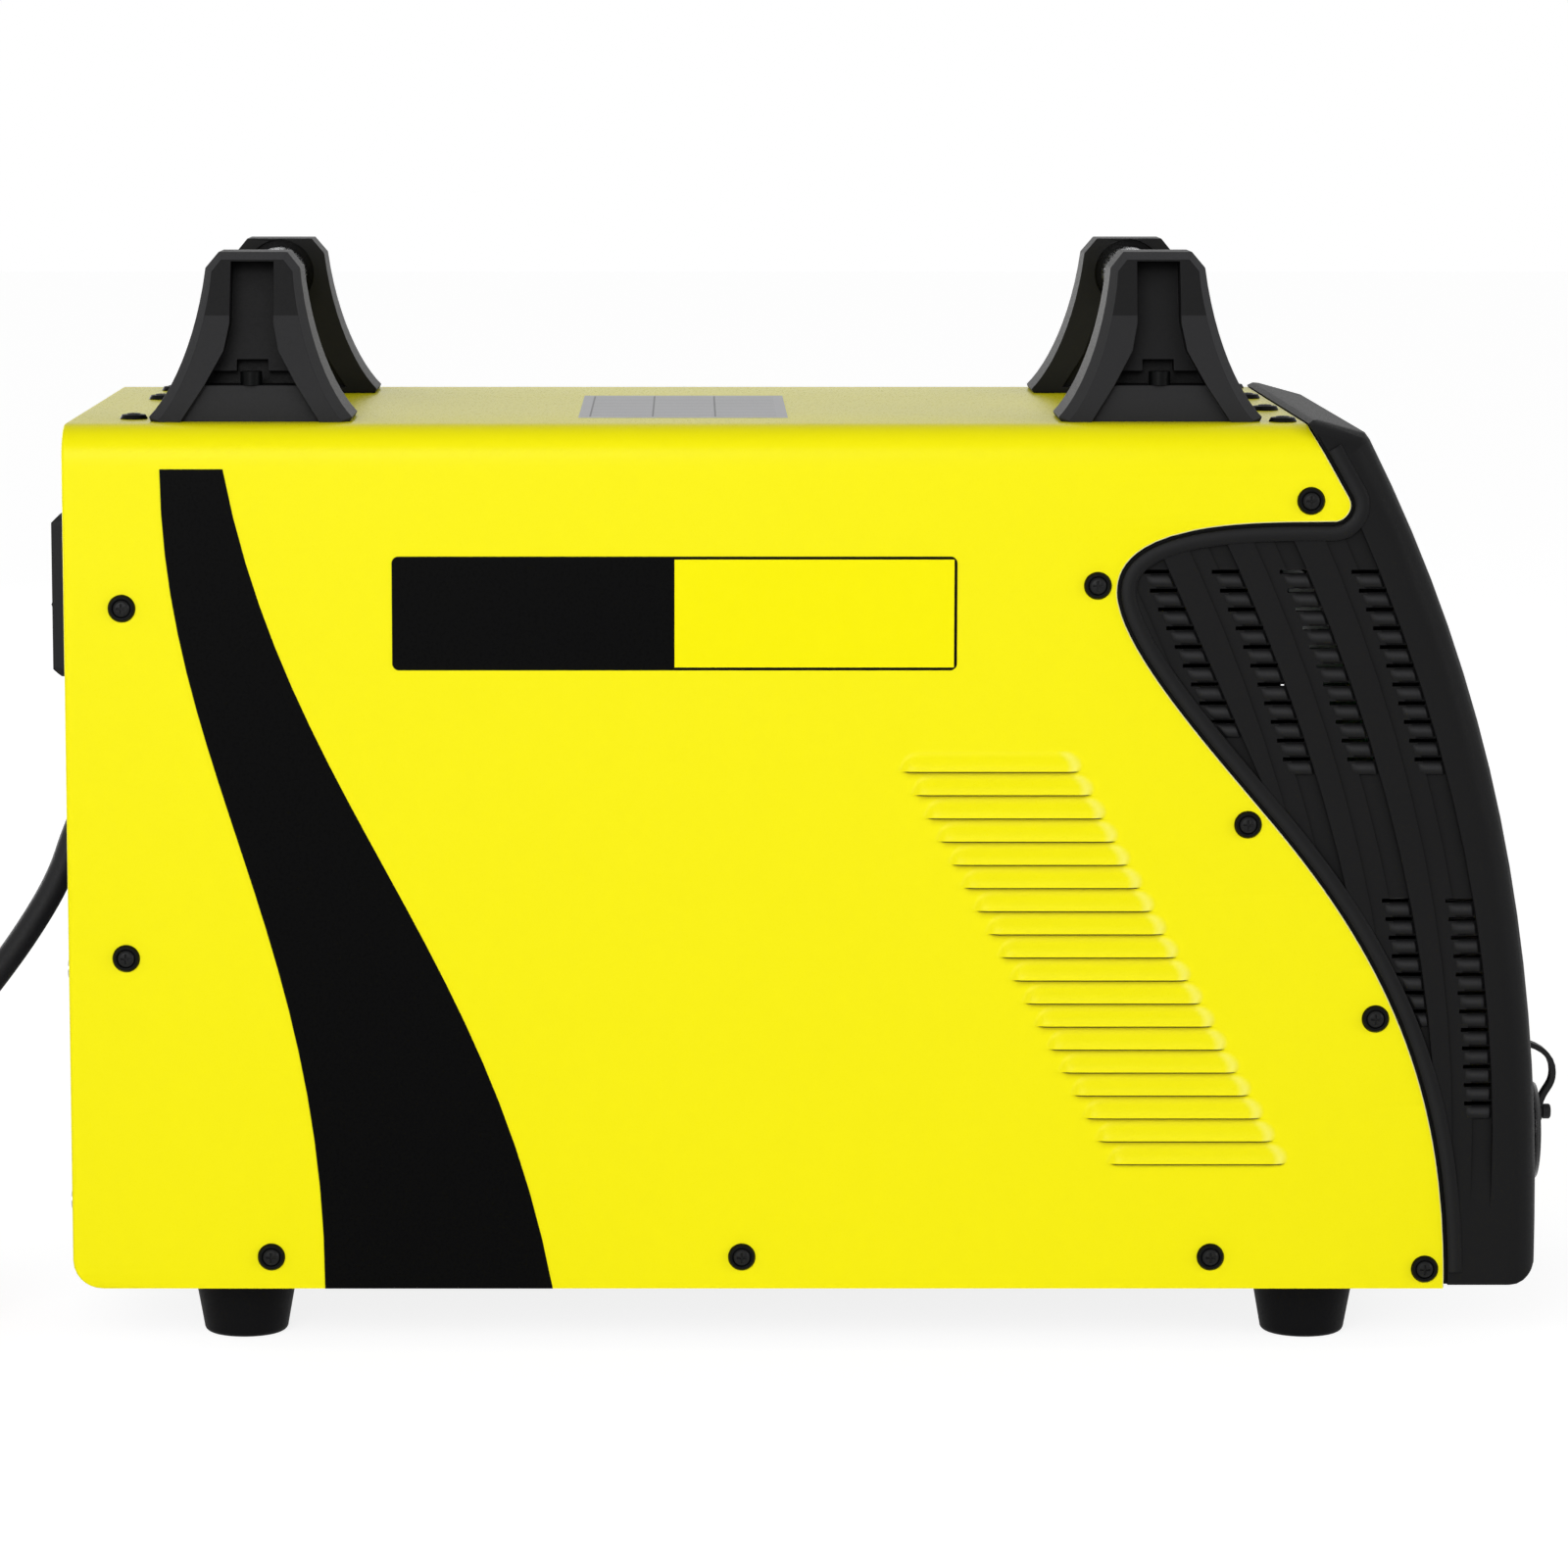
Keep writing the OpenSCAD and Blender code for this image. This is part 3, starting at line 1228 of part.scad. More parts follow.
// Long screws through each guard, the panel and the fan's corners, with their nuts.
module fan_screws() {
    color([0.7, 0.7, 0.72]) place() for (s = [-1, 1], a = [-1, 1], b = [-1, 1])
        translate([0, s * fan_y + a * fan_hole_y, fan_z + b * fan_hole_y]) {
            rod_x(2, rear_face_x - guard_t - over, fan_x + fan_depth + 5, 24);
            rod_x(4, rear_face_x - guard_t - 2.4, rear_face_x - guard_t, 24);
            rod_x(4, fan_x + fan_depth, fan_x + fan_depth + 3.2, 6);
        }
}

// Rubber elbow that leads the supply cable out of the panel and down.
module cord_boot() {
    color([0.05, 0.05, 0.05]) place() {
        translate(boot_corner) sphere(boot_r, $fn = round_fn);
        translate(boot_tip) rotate([0, 90 - boot_turn, 0]) rotate_extrude($fn = round_fn)
            polygon([[0, 0], [cord_r + 1, 0], [boot_r - 0.5, boot_len], [0, boot_len]]);
        translate([0, boot_at[0], boot_at[1]]) {
            rod_x(boot_r - 0.5, boot_corner[0], rear_in_x + 8);
            rod_x(14, rear_face_x - 2, rear_face_x);
            rod_x(14, rear_in_x, rear_in_x + 6, 6);
        }
    }
}

// Hexagon fitting with a barbed tail for the compressed-air hose.
module air_inlet() {
    color([0.8, 0.65, 0.3]) place() translate([rear_face_x, inlet_at[0], inlet_at[1]]) {
        rod_x(barb_d / 2 + 1.4, -over, rear_in_x - rear_face_x, 32);
        rod_x(barb_d / 2 + 4.5, -7, 0, 6);
        rod_x(barb_d / 2, -inlet_len, -6, 48);
    }
}

module earth_stud() {
    r = earth_d / 2;
    color([0.75, 0.72, 0.6]) place() translate([rear_face_x, earth_at[0], earth_at[1]]) {
        rod_x(r, -18, rear_in_x - rear_face_x + 8, 32);
        rod_x(r * 1.9, -6, 0, 6);
        rod_x(r * 2.2, -1, 0, 32);
        rod_x(r * 1.9, rear_in_x - rear_face_x, rear_in_x - rear_face_x + 5, 6);
    }
}

// ---------------------------------------------------------------- Supply lead
module cord_run() {
    color([0.05, 0.05, 0.05]) place() tube(run_points, cord_r, 10, [0, 1, 0]);
}

module cord_coil() {
    color([0.05, 0.05, 0.05]) place() tube(coil_points, cord_r, 6, [0, 0, 1]);
}

collar_wall = 4;
collar_floor_x = 97;
pin_count = 5;

// Round five-pin plug with a cable nut, lying on its nut and its collar.
module supply_plug() {
    color([0.75, 0.08, 0.06]) place() translate(plug_at) rotate([0, -plug_tilt, 0]) {
        turned_x([[0, 0], [plug_nut_r, 0], [plug_nut_r, 22], [21, 26], [24, 58], [28, collar_x - 4],
            [28, collar_x], [collar_r, collar_x], [collar_r, plug_len],
            [collar_r - collar_wall, plug_len], [collar_r - collar_wall, collar_floor_x],
            [0, collar_floor_x]], 64);
        for (k = [0:pin_count - 1]) rotate([k * 360 / pin_count, 0, 0])
            translate([0, 0, 16]) rod_x(3, collar_floor_x - over, plug_len - 12, 24);
    }
}

tie_w = 16;
tie_at = coil_centre[0];
tie_in = coil_r - coil_pitch * (coil_in - 0.25) - cord_r - 1.3;
tie_out = coil_r - coil_pitch * 0.25 + cord_r + 1.3;
tie_top = coil_z + coil_pitch + cord_r + fit_gap;

// Strap round both layers of the coil, on the side away from the machine.
module coil_tie() {
    color([0.15, 0.15, 0.16]) place() slab(coil_centre[1] - tie_w / 2, coil_centre[1] + tie_w / 2)
        difference() {
            translate([tie_at - tie_out - tie_t, 0]) square([tie_out - tie_in + 2 * tie_t,
                tie_top + tie_t]);
            translate([tie_at - tie_out, tie_t]) square([tie_out - tie_in, tie_top - tie_t]);
        }
}

// ---------------------------------------------------------------- Inside
tunnel_x = [50, case_len - 250];
tunnel_y = fan_y + fan_size / 2 + 1;
tunnel_top = fan_z + fan_size / 2 + 25;
sink_x = [80, 300];
sink_w = fan_size;
sink_h = 62;
sink_base = 12;
fin_pitch = 10;
window_x = [104, 284];
window_w = 104;
module_h = 30;
board_z = tunnel_top + module_h;
board_t = 1.6;

// Channel that ducts the fans' air past the heat sinks and carries the boards.
module wind_tunnel() {
    color([0.7, 0.71, 0.72]) place() difference() {
        union() {
            block([tunnel_x[0], -tunnel_y - tray_t, tunnel_top],
                [tunnel_x[1], tunnel_y + tray_t, tunnel_top + tray_t]);
            both_sides() block([tunnel_x[0], tunnel_y, floor_top],
                [tunnel_x[1], tunnel_y + tray_t, tunnel_top + tray_t]);
        }
        for (s = [-1, 1]) block([window_x[0], s * fan_y - window_w / 2, tunnel_top - over],
            [window_x[1], s * fan_y + window_w / 2, tunnel_top + 2 * over]);
    }
}

module heat_sinks() {
    color([0.72, 0.73, 0.75]) place() for (s = [-1, 1]) {
        block([sink_x[0], s * fan_y - sink_w / 2, tunnel_top - sink_base],
            [sink_x[1], s * fan_y + sink_w / 2, tunnel_top]);
        for (y = [-sink_w / 2 + 2:fin_pitch:sink_w / 2 - 3])
            block([sink_x[0], s * fan_y + y, tunnel_top - sink_h],
                [sink_x[1], s * fan_y + y + 2.5, tunnel_top - sink_base + over]);
    }
}

module power_modules() {
    color([0.1, 0.1, 0.1]) place() for (x = [window_x[0] + 8, window_x[0] + 98])
        block([x, -fan_y - 46, tunnel_top], [x + 62, -fan_y + 46, board_z]);
}

module input_rectifier() {
    color([0.15, 0.15, 0.16]) place() for (x = [window_x[0] + 8, window_x[0] + 98])
        block([x, fan_y - 30, tunnel_top], [x + 54, fan_y + 30, board_z]);
}

module power_board() {
    color([0.05, 0.32, 0.14]) place() block([window_x[0], -tunnel_y + 8, board_z],
        [window_x[1], tunnel_y - 8, board_z + board_t]);
}

can_r = 25;

module capacitors() {
    color([0.1, 0.1, 0.3]) place() for (x = [window_x[0] + 40, window_x[0] + 125], s = [-1, 1])
        translate([x, s * 62, board_z + board_t]) cylinder(r = can_r, h = 62, $fn = round_fn);
}

core_x = [case_len - 232, case_len - 112];

// Ferrite core with its winding, in front of the tunnel.
module main_transformer() {
    color([0.25, 0.25, 0.27]) place() {
        block([core_x[0], -118, floor_top], [core_x[1], -68, floor_top + 104]);
        block([core_x[0] + 24, -132, floor_top + 22], [core_x[1] - 24, -54, floor_top + 82]);
    }
}

module output_inductor() {
    color([0.7, 0.4, 0.2]) place() translate([(core_x[0] + core_x[1]) / 2, 62, floor_top])
        rotate_extrude($fn = 64) translate([24, 0]) square([34, 56]);
}

module hf_coil() {
    color([0.75, 0.45, 0.2]) place() translate([panel_foot_x + 6, 0, floor_top + tray_t]) {
        block([0, -128, 0], [34, -48, 8]);
        translate([17, -88, 7]) cylinder(r = 15, h = 52, $fn = round_fn);
    }
}

module control_board() {
    color([0.05, 0.3, 0.12]) place() {
        block([tunnel_x[1] - 95, -115, tunnel_top + 14], [tunnel_x[1] - 5, 115, tunnel_top + 15.6]);
        for (x = [tunnel_x[1] - 88, tunnel_x[1] - 12], y = [-105, 105])
            translate([x, y, tunnel_top + tray_t]) cylinder(r = 4, h = 13, $fn = 24);
        block([tunnel_x[1] - 80, -60, tunnel_top + 15], [tunnel_x[1] - 50, 0, tunnel_top + 32]);
    }
}

// Valve block behind the air inlet, with its coil on top.
module solenoid_valve() {
    color([0.3, 0.3, 0.32]) place() translate([rear_in_x, inlet_at[0], inlet_at[1]]) {
        block([0, -18, -18], [44, 18, 18]);
        translate([22, 0, 17]) cylinder(r = 14, h = 36, $fn = round_fn);
        rod_x(6, 43, 56, 32);
    }
}

hose_r = 5;
hose_start = [rear_in_x + 56, inlet_at[0], inlet_at[1]];
hose_end = [panel_face_x - 16, torch_at[0], torch_at[1]];
hose_points = [hose_start, hose_start + [14, 0, 0], hose_start + [40, 8, 8],
    hose_start + [70, 26, 26], hose_start + [100, 36, 38], hose_start + [150, 37, 40],
    hose_start + [240, 37, 40], [case_len - 240, inlet_at[0] + 37, inlet_at[1] + 38],
    [case_len - 150, inlet_at[0] + 36, inlet_at[1] + 22],
    [case_len - 110, inlet_at[0] + 30, inlet_at[1] - 6],
    [case_len - 86, inlet_at[0] + 16, inlet_at[1] - 50],
    [case_len - 72, torch_at[0] + 12, torch_at[1] + 50],
    hose_end + [-26, 4, 16], hose_end + [-12, 0, 0], hose_end];

module air_hose() {
    color([0.1, 0.2, 0.5]) place() tube(hose_points, hose_r, 8, [0, 0.2, 1]);
}

cover();
side_stripes();
name_plates();
base_tray();
rear_panel();
front_bezel();
front_panel();
control_fascia();
display_window();
current_knob();
post_flow_knob();
mode_toggle();
toggle_bush();
air_test_button();
indicator_lamps();
torch_connector();
work_socket();
control_socket();
dust_cap();
cap_strap();
handle_bracket_rear_right();
handle_bracket_rear_left();
handle_bracket_front_right();
handle_bracket_front_left();
handle_bars();
bracket_screws();
fan_screws();
feet();
foot_screws();
side_screws();
top_screws();
cup_washers();
rating_label();
switch_hood();
breaker_body();
power_lever();
fan_frames();
fan_rotor_right();
fan_rotor_left();
fan_guards();
cord_boot();
air_inlet();
earth_stud();
cord_run();
cord_coil();
supply_plug();
coil_tie();
wind_tunnel();
heat_sinks();
power_modules();
input_rectifier();
power_board();
capacitors();
main_transformer();
output_inductor();
hf_coil();
control_board();
display_board();
solenoid_valve();
air_hose();
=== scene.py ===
"""Portable inverter plasma cutter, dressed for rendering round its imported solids.

Metres. +X is the machine's front, +Z is up, and Y = 0 is its middle plane. The
drawing's own X starts at the cover's rear edge, REAR millimetres behind the origin.
"""
import math

import bmesh
import bpy
import numpy as np
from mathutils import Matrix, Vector
from mathutils.geometry import tessellate_polygon


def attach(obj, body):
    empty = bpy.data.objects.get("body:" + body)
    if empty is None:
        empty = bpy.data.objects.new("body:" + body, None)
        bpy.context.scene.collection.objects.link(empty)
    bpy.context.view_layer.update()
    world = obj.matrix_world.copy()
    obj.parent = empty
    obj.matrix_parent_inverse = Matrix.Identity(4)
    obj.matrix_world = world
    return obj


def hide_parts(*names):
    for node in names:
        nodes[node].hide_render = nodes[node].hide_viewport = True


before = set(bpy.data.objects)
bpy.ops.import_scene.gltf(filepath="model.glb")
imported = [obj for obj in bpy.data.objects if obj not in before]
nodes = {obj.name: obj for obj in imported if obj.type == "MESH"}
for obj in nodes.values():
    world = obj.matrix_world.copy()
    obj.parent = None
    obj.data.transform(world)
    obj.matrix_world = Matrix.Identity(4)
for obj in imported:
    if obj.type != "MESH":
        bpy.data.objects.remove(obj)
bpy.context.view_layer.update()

REAR = 326.4


# ---- Camera -----------------------------------------------------------------
# A long lens on the machine's right side, level with its handles and a little
# to the rear; the sensor is shifted so that the picture's own middle stays free.
lens_data = bpy.data.cameras.new("camera")
lens_data.sensor_width = 36.0
lens_data.lens = 135.958
lens_data.shift_x = 0.06035
lens_data.shift_y = 0.06229
camera = bpy.data.objects.new("camera", lens_data)
camera.location = (-0.052102, -2.734231, 0.580724)
camera.rotation_euler = (math.radians(90 - 8.136), 0.0, 0.0)
bpy.context.scene.collection.objects.link(camera)
bpy.context.scene.camera = camera
bpy.context.scene.view_settings.view_transform = "Standard"


# ---- Floor and light --------------------------------------------------------
# A white floor that keeps a soft shadow, a surround that is bright all round and
# dimmer overhead, and three broad lamps: in front of the right side, at the front, and
# low behind the left rear corner.
def math_node(tree, operation, first, second=None):
    """The result of one sum or comparison on two values, each a number or another node's output."""
    node = tree.nodes.new("ShaderNodeMath")
    node.operation = operation
    for socket, value in zip(node.inputs, (first, second)):
        if isinstance(value, (int, float)):
            socket.default_value = value
        elif value is not None:
            tree.links.new(value, socket)
    return node.outputs[0]


def white_to_eye(tree, for_eye, for_light, out_socket):
    """Mixes two closures: camera, mirror and glass rays get for_eye, the others for_light."""
    rays = tree.nodes.new("ShaderNodeLightPath").outputs
    mirror = math_node(tree, "MAXIMUM", rays["Is Camera Ray"], rays["Is Glossy Ray"])
    either = math_node(tree, "MAXIMUM", mirror, rays["Is Transmission Ray"])
    choose = tree.nodes.new("ShaderNodeMixShader")
    tree.links.new(either, choose.inputs[0])
    tree.links.new(for_light, choose.inputs[1])
    tree.links.new(for_eye, choose.inputs[2])
    tree.links.new(choose.outputs[0], out_socket)


surround_low, surround_high = 0.95, 0.1
world = bpy.data.worlds.new("surround")
bpy.context.scene.world = world
world.use_nodes = True
sky = world.node_tree
sky_light = sky.nodes["Background"]
sky_light.inputs["Color"].default_value = (1.0, 1.0, 1.0, 1.0)
direction = sky.nodes.new("ShaderNodeTexCoord")
split = sky.nodes.new("ShaderNodeSeparateXYZ")
sky.links.new(direction.outputs["Generated"], split.inputs[0])
height = sky.nodes.new("ShaderNodeMapRange")
height.interpolation_type = "SMOOTHSTEP"
height.inputs["From Min"].default_value = 0.3
height.inputs["From Max"].default_value = 0.75
height.inputs["To Min"].default_value = surround_low
height.inputs["To Max"].default_value = surround_high
sky.links.new(split.outputs["Z"], height.inputs["Value"])
sky.links.new(height.outputs["Result"], sky_light.inputs["Strength"])
sky_seen = sky.nodes.new("ShaderNodeBackground")
sky_seen.inputs["Color"].default_value = (1.0, 1.0, 1.0, 1.0)
sky_seen.inputs["Strength"].default_value = 1.0
white_to_eye(sky, sky_seen.outputs[0], sky_light.outputs[0],
             sky.nodes["World Output"].inputs["Surface"])

floor_half = 12.0
floor_mesh = bpy.data.meshes.new("floor")
floor_mesh.from_pydata([(-floor_half, -floor_half, 0), (floor_half, -floor_half, 0),
                        (floor_half, floor_half, 0), (-floor_half, floor_half, 0)],
                       [], [(0, 1, 2, 3)])
floor = bpy.data.objects.new("floor", floor_mesh)
bpy.context.scene.collection.objects.link(floor)
floor_paint = bpy.data.materials.new("floor_white")
floor_paint.use_nodes = True
ground = floor_paint.node_tree
ground.nodes.remove(ground.nodes["Principled BSDF"])
matt = ground.nodes.new("ShaderNodeBsdfDiffuse")
matt.inputs["Color"].default_value = (0.94, 0.94, 0.94, 1.0)
shade = ground.nodes.new("ShaderNodeBsdfDiffuse")
shade.inputs["Color"].default_value = (0.42, 0.42, 0.42, 1.0)
glow = ground.nodes.new("ShaderNodeEmission")
glow.inputs["Color"].default_value = (1.0, 1.0, 1.0, 1.0)
glow.inputs["Strength"].default_value = 0.84
seen = ground.nodes.new("ShaderNodeAddShader")
ground.links.new(shade.outputs[0], seen.inputs[0])
ground.links.new(glow.outputs[0], seen.inputs[1])
white_to_eye(ground, seen.outputs[0], matt.outputs[0],
             ground.nodes["Material Output"].inputs["Surface"])
floor_mesh.materials.append(floor_paint)


def soft_lamp(name, place, target, size, watts):
    """A square area lamp at place that faces target."""
    lamp_data = bpy.data.lights.new(name, "AREA")
    lamp_data.size = size
    lamp_data.energy = watts
    lamp = bpy.data.objects.new(name, lamp_data)
    lamp.location = place
    lamp.rotation_euler = (Vector(target) - Vector(place)).to_track_quat("-Z", "Y").to_euler()
    bpy.context.scene.collection.objects.link(lamp)


soft_lamp("key_lamp", (-0.9, -3.2, 1.25), (0.0, 0.0, 0.2), 1.8, 46.0)
soft_lamp("edge_lamp", (2.8, -1.4, 1.0), (0.2, 0.0, 0.2), 0.9, 12.0)
soft_lamp("rear_lamp", (-2.1, 2.5, 0.38), (0.0, 0.0, 0.22), 1.6, 30.0)


# ---- Supply lead ------------------------------------------------------------
# A 12.5 mm rubber cable. It leaves the boot, sags to the floor behind the machine
# and is put away there in two layers of a round coil, which ends in its plug.
def unit(v):
    """Vectors scaled to length one."""
    return v / np.linalg.norm(v, axis=-1, keepdims=True)


def bezier(p, n):
    """n + 1 points of a cubic curve: its four corners weighed by (1-t)^3, 3t(1-t)^2, 3t^2(1-t)
    and t^3."""
    t = np.linspace(0.0, 1.0, n + 1)[:, None]
    p = np.asarray(p, float)
    return (1 - t)**3 * p[0] + 3 * t * (1 - t)**2 * p[1] + 3 * t**2 * (1 - t) * p[2] + t**3 * p[3]


def flowing(p, n):
    """A smooth line through points p, n steps a stretch: cubic pieces whose end slopes are half
    the step from the point before to the point after."""
    p = np.asarray(p, float)
    slope = (np.vstack([p[1:], p[-1:]]) - np.vstack([p[:1], p[:-1]])) / 2
    pieces = [bezier([p[i], p[i] + slope[i] / 3, p[i + 1] - slope[i + 1] / 3, p[i + 1]], n)[:-1]
              for i in range(len(p) - 1)]
    return np.vstack(pieces + [p[-1:]])


def grid_faces(rows, columns, wrap=False):
    """Four-cornered faces of a grid of points, numbered row by row; wrap joins the last column
    to the first."""
    r = np.arange(rows - 1)[:, None]
    c = np.arange(columns if wrap else columns - 1)[None, :]
    d = (c + 1) % columns
    corners = [r * columns + c, r * columns + d, (r + 1) * columns + d, (r + 1) * columns + c]
    return np.stack(corners, axis=-1).reshape(-1, 4)


def piece_of(name, points, faces, material, smooth=35.0):
    """A piece from points in the drawing's millimetres and a list of faces; edges sharper than
    smooth degrees stay hard."""
    points = (np.asarray(points, float).reshape(-1, 3) - [REAR, 0, 0]) / 1000
    mesh = bpy.data.meshes.new(name)
    mesh.from_pydata(points.tolist(), [], [[int(i) for i in f] for f in faces])
    mesh.materials.append(material)
    piece = bpy.data.objects.new(name, mesh)
    bpy.context.scene.collection.objects.link(piece)
    mesh.shade_smooth()
    if smooth < 180:
        mesh.set_sharp_from_angle(angle=math.radians(smooth))
    return piece


def rings(line, radius, sides, up=(0, 0, 1)):
    """Circles of radius round each point of line, square to it: the point plus radius times the
    cosine and the sine of an angle along the two directions across the line."""
    tangent = unit(np.gradient(line, axis=0))
    side = unit(np.cross(tangent, np.asarray(up, float)))
    lift = np.cross(side, tangent)
    a = np.linspace(0, 2 * np.pi, sides, endpoint=False)[None, :, None]
    radius = np.broadcast_to(np.asarray(radius, float), (len(line),))[:, None, None]
    return line[:, None, :] + radius * (np.cos(a) * side[:, None, :] - np.sin(a) * lift[:, None, :])


def closed_rings(skin):
    """Points and faces of a closed skin from rings of points: a grid round them and a fan of
    triangles over each end."""
    count, sides = skin.shape[:2]
    points = np.vstack([skin.reshape(-1, 3), skin[0].mean(0)[None], skin[-1].mean(0)[None]])
    faces = grid_faces(count, sides, wrap=True).tolist()
    last = (count - 1) * sides
    for k in range(sides):
        faces.append([count * sides, (k + 1) % sides, k])
        faces.append([count * sides + 1, last + k, last + (k + 1) % sides])
    return points, faces


def finish(name, colour, rough, shade=0.86, patch=9.0, grain=900.0, relief=0.01, spread=0.08,
           metal=0.0, specular=0.5, coat=0.0, stretch=(1, 1, 1)):
    """A surface on Object coordinates. Its colour drifts towards shade times itself with cloudy
    noise, patch cycles a metre; fine noise, grain cycles a metre and drawn out by stretch, spreads
    its roughness by spread and lifts it by relief millimetres."""
    material = bpy.data.materials.new(name)
    material.use_nodes = True
    tree = material.node_tree
    link = tree.links.new
    shader = tree.nodes["Principled BSDF"]
    shader.inputs["Metallic"].default_value = metal
    shader.inputs["Specular IOR Level"].default_value = specular
    shader.inputs["Coat Weight"].default_value = coat
    shader.inputs["Coat Roughness"].default_value = 0.08
    where = tree.nodes.new("ShaderNodeTexCoord")
    where.name = "where"
    cloud = tree.nodes.new("ShaderNodeTexNoise")
    cloud.inputs["Scale"].default_value = patch
    cloud.inputs["Detail"].default_value = 4.0
    link(where.outputs["Object"], cloud.inputs["Vector"])
    tint = tree.nodes.new("ShaderNodeMix")
    tint.name = "tint"
    tint.data_type = "RGBA"
    tint.inputs["A"].default_value = (*colour, 1.0)
    tint.inputs["B"].default_value = (*[c * shade for c in colour], 1.0)
    link(cloud.outputs["Fac"], tint.inputs["Factor"])
    link(tint.outputs["Result"], shader.inputs["Base Color"])
    drawn = tree.nodes.new("ShaderNodeMapping")
    drawn.inputs["Scale"].default_value = stretch
    link(where.outputs["Object"], drawn.inputs["Vector"])
    fine = tree.nodes.new("ShaderNodeTexNoise")
    fine.inputs["Scale"].default_value = grain
    fine.inputs["Detail"].default_value = 3.0
    link(drawn.outputs["Vector"], fine.inputs["Vector"])
    dull = tree.nodes.new("ShaderNodeMapRange")
    dull.inputs["From Min"].default_value = 0.3
    dull.inputs["From Max"].default_value = 0.7
    dull.inputs["To Min"].default_value = max(rough - spread, 0.02)
    dull.inputs["To Max"].default_value = min(rough + spread, 1.0)
    link(fine.outputs["Fac"], dull.inputs["Value"])
    link(dull.outputs["Result"], shader.inputs["Roughness"])
    bump = tree.nodes.new("ShaderNodeBump")
    bump.inputs["Distance"].default_value = relief / 1000
    link(fine.outputs["Fac"], bump.inputs["Height"])
    link(bump.outputs["Normal"], shader.inputs["Normal"])
    return material


lead_d = 12.5
boot_dip, boot_len = math.radians(68), 22
boot_dir = np.array([-math.cos(boot_dip), 0.0, -math.sin(boot_dip)])
boot_corner = np.array([-4.1, 40.0, 237.0])
boot_tip = boot_corner + boot_len * boot_dir
coil_mid = np.array([-285.0, -18.0])
coil_r, coil_step, coil_low = 90.0, 13.2, 7.75
turns_in, coil_turns, turn_steps = 3, 5.5, 48
lead_run = [boot_tip, boot_tip + 13 * boot_dir, (-23, 40, 189), (-32, 40, 172), (-47, 40, 149.5),
            (-67, 41, 124), (-92, 44, 97), (-122, 50, 70), (-158, 58, 44), (-196, 65, 23),
            (-232, 70, 11.5), (-258.5, 72, coil_low), (-272.5, 72, coil_low),
            (-285, 72, coil_low)]


def coil_point(turn):
    """The coil after so many turns: it winds in for three turns, climbs one cable's depth in half
    a turn along half a cosine, and winds out above."""
    turn = np.asarray(turn, float)
    inwards, outwards = np.minimum(turn, turns_in), np.maximum(turn - turns_in, 0)
    radius = coil_r - coil_step * inwards + coil_step * outwards
    climb = np.clip((turn - turns_in + 0.25) * 2, 0, 1)
    a = np.radians(90 + 360 * turn)
    return np.stack([coil_mid[0] + radius * np.cos(a), coil_mid[1] + radius * np.sin(a),
                     coil_low + coil_step * (1 - np.cos(np.pi * climb)) / 2], axis=-1)


coil_line = coil_point(np.arange(0, coil_turns * turn_steps + 1) / turn_steps)
plug_dir = np.array([0.985782, 0.0, 0.168031])
plug_at = np.array([-185.0, -101.4, 17.744])
tail_reach, plug_reach, plug_neck = 58, 26.5, 12.5
lead_tail = bezier([coil_line[-1], coil_line[-1] + [tail_reach, 0, 0],
                    plug_at - plug_reach * plug_dir, plug_at - plug_neck * plug_dir], 24)
lead_line = np.vstack([flowing(lead_run, 6)[:-1], coil_line, lead_tail[1:], plug_at[None, :]])

rubber = finish("cable_rubber", (0.008, 0.008, 0.009), 0.55, shade=0.6, patch=30, grain=1400,
                relief=0.05, specular=0.25)
lead = piece_of("supply_lead", *closed_rings(rings(lead_line, lead_d / 2, 20)), rubber)
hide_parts("cord_run", "cord_coil")
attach(lead, "machine")


# ---- Coil tie ---------------------------------------------------------------
# The strap round the coil: woven tape 16 mm wide, run round both layers and closed
# on itself. Its line is a rounded oblong, and its section a thin rounded bar.
def oblong(width, height, radius, n):
    """A rounded oblong round the origin, anticlockwise: four quarter circles of n steps, joined
    by straight lines."""
    a = np.radians(np.concatenate([np.linspace(q, q + 90, n + 1) for q in (0, 90, 180, 270)]))
    corner = np.repeat([[1, 1], [-1, 1], [-1, -1], [1, -1]], n + 1, axis=0)
    centre = corner * [width / 2 - radius, height / 2 - radius]
    return centre + radius * np.stack([np.cos(a), np.sin(a)], -1)


tape_w, tape_t, tape_off = 16.0, 1.2, 0.65
tape_x, tape_z = coil_mid[0] - 70.2, 13.85
tape_loop = oblong(50.5, 27.5, 6.6, 8)
tape_run = np.roll(tape_loop, -1, 0) - np.roll(tape_loop, 1, 0)
tape_in = unit(np.stack([-tape_run[:, 1], tape_run[:, 0]], -1))
tape_section = oblong(tape_t, tape_w, 0.55, 4)
sunk = tape_off + tape_section[None, :, 0]
tape_points = np.stack([
    tape_x + tape_loop[:, None, 0] + tape_in[:, None, 0] * sunk,
    coil_mid[1] + np.broadcast_to(tape_section[None, :, 1], (len(tape_loop), len(tape_section))),
    tape_z + tape_loop[:, None, 1] + tape_in[:, None, 1] * sunk], -1)
tape_rows, tape_cols = tape_points.shape[:2]
last_row = (tape_rows - 1) * tape_cols
tape_faces = np.vstack([grid_faces(tape_rows, tape_cols, wrap=True),
                        [[last_row + c, last_row + (c + 1) % tape_cols, (c + 1) % tape_cols, c]
                         for c in range(tape_cols)]])
tape_cloth = finish("tie_tape", (0.02, 0.02, 0.022), 0.85, shade=0.6, patch=60, grain=2600,
                    relief=0.2, specular=0.2)
tie = piece_of("coil_tape", tape_points, tape_faces, tape_cloth)
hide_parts("coil_tie")
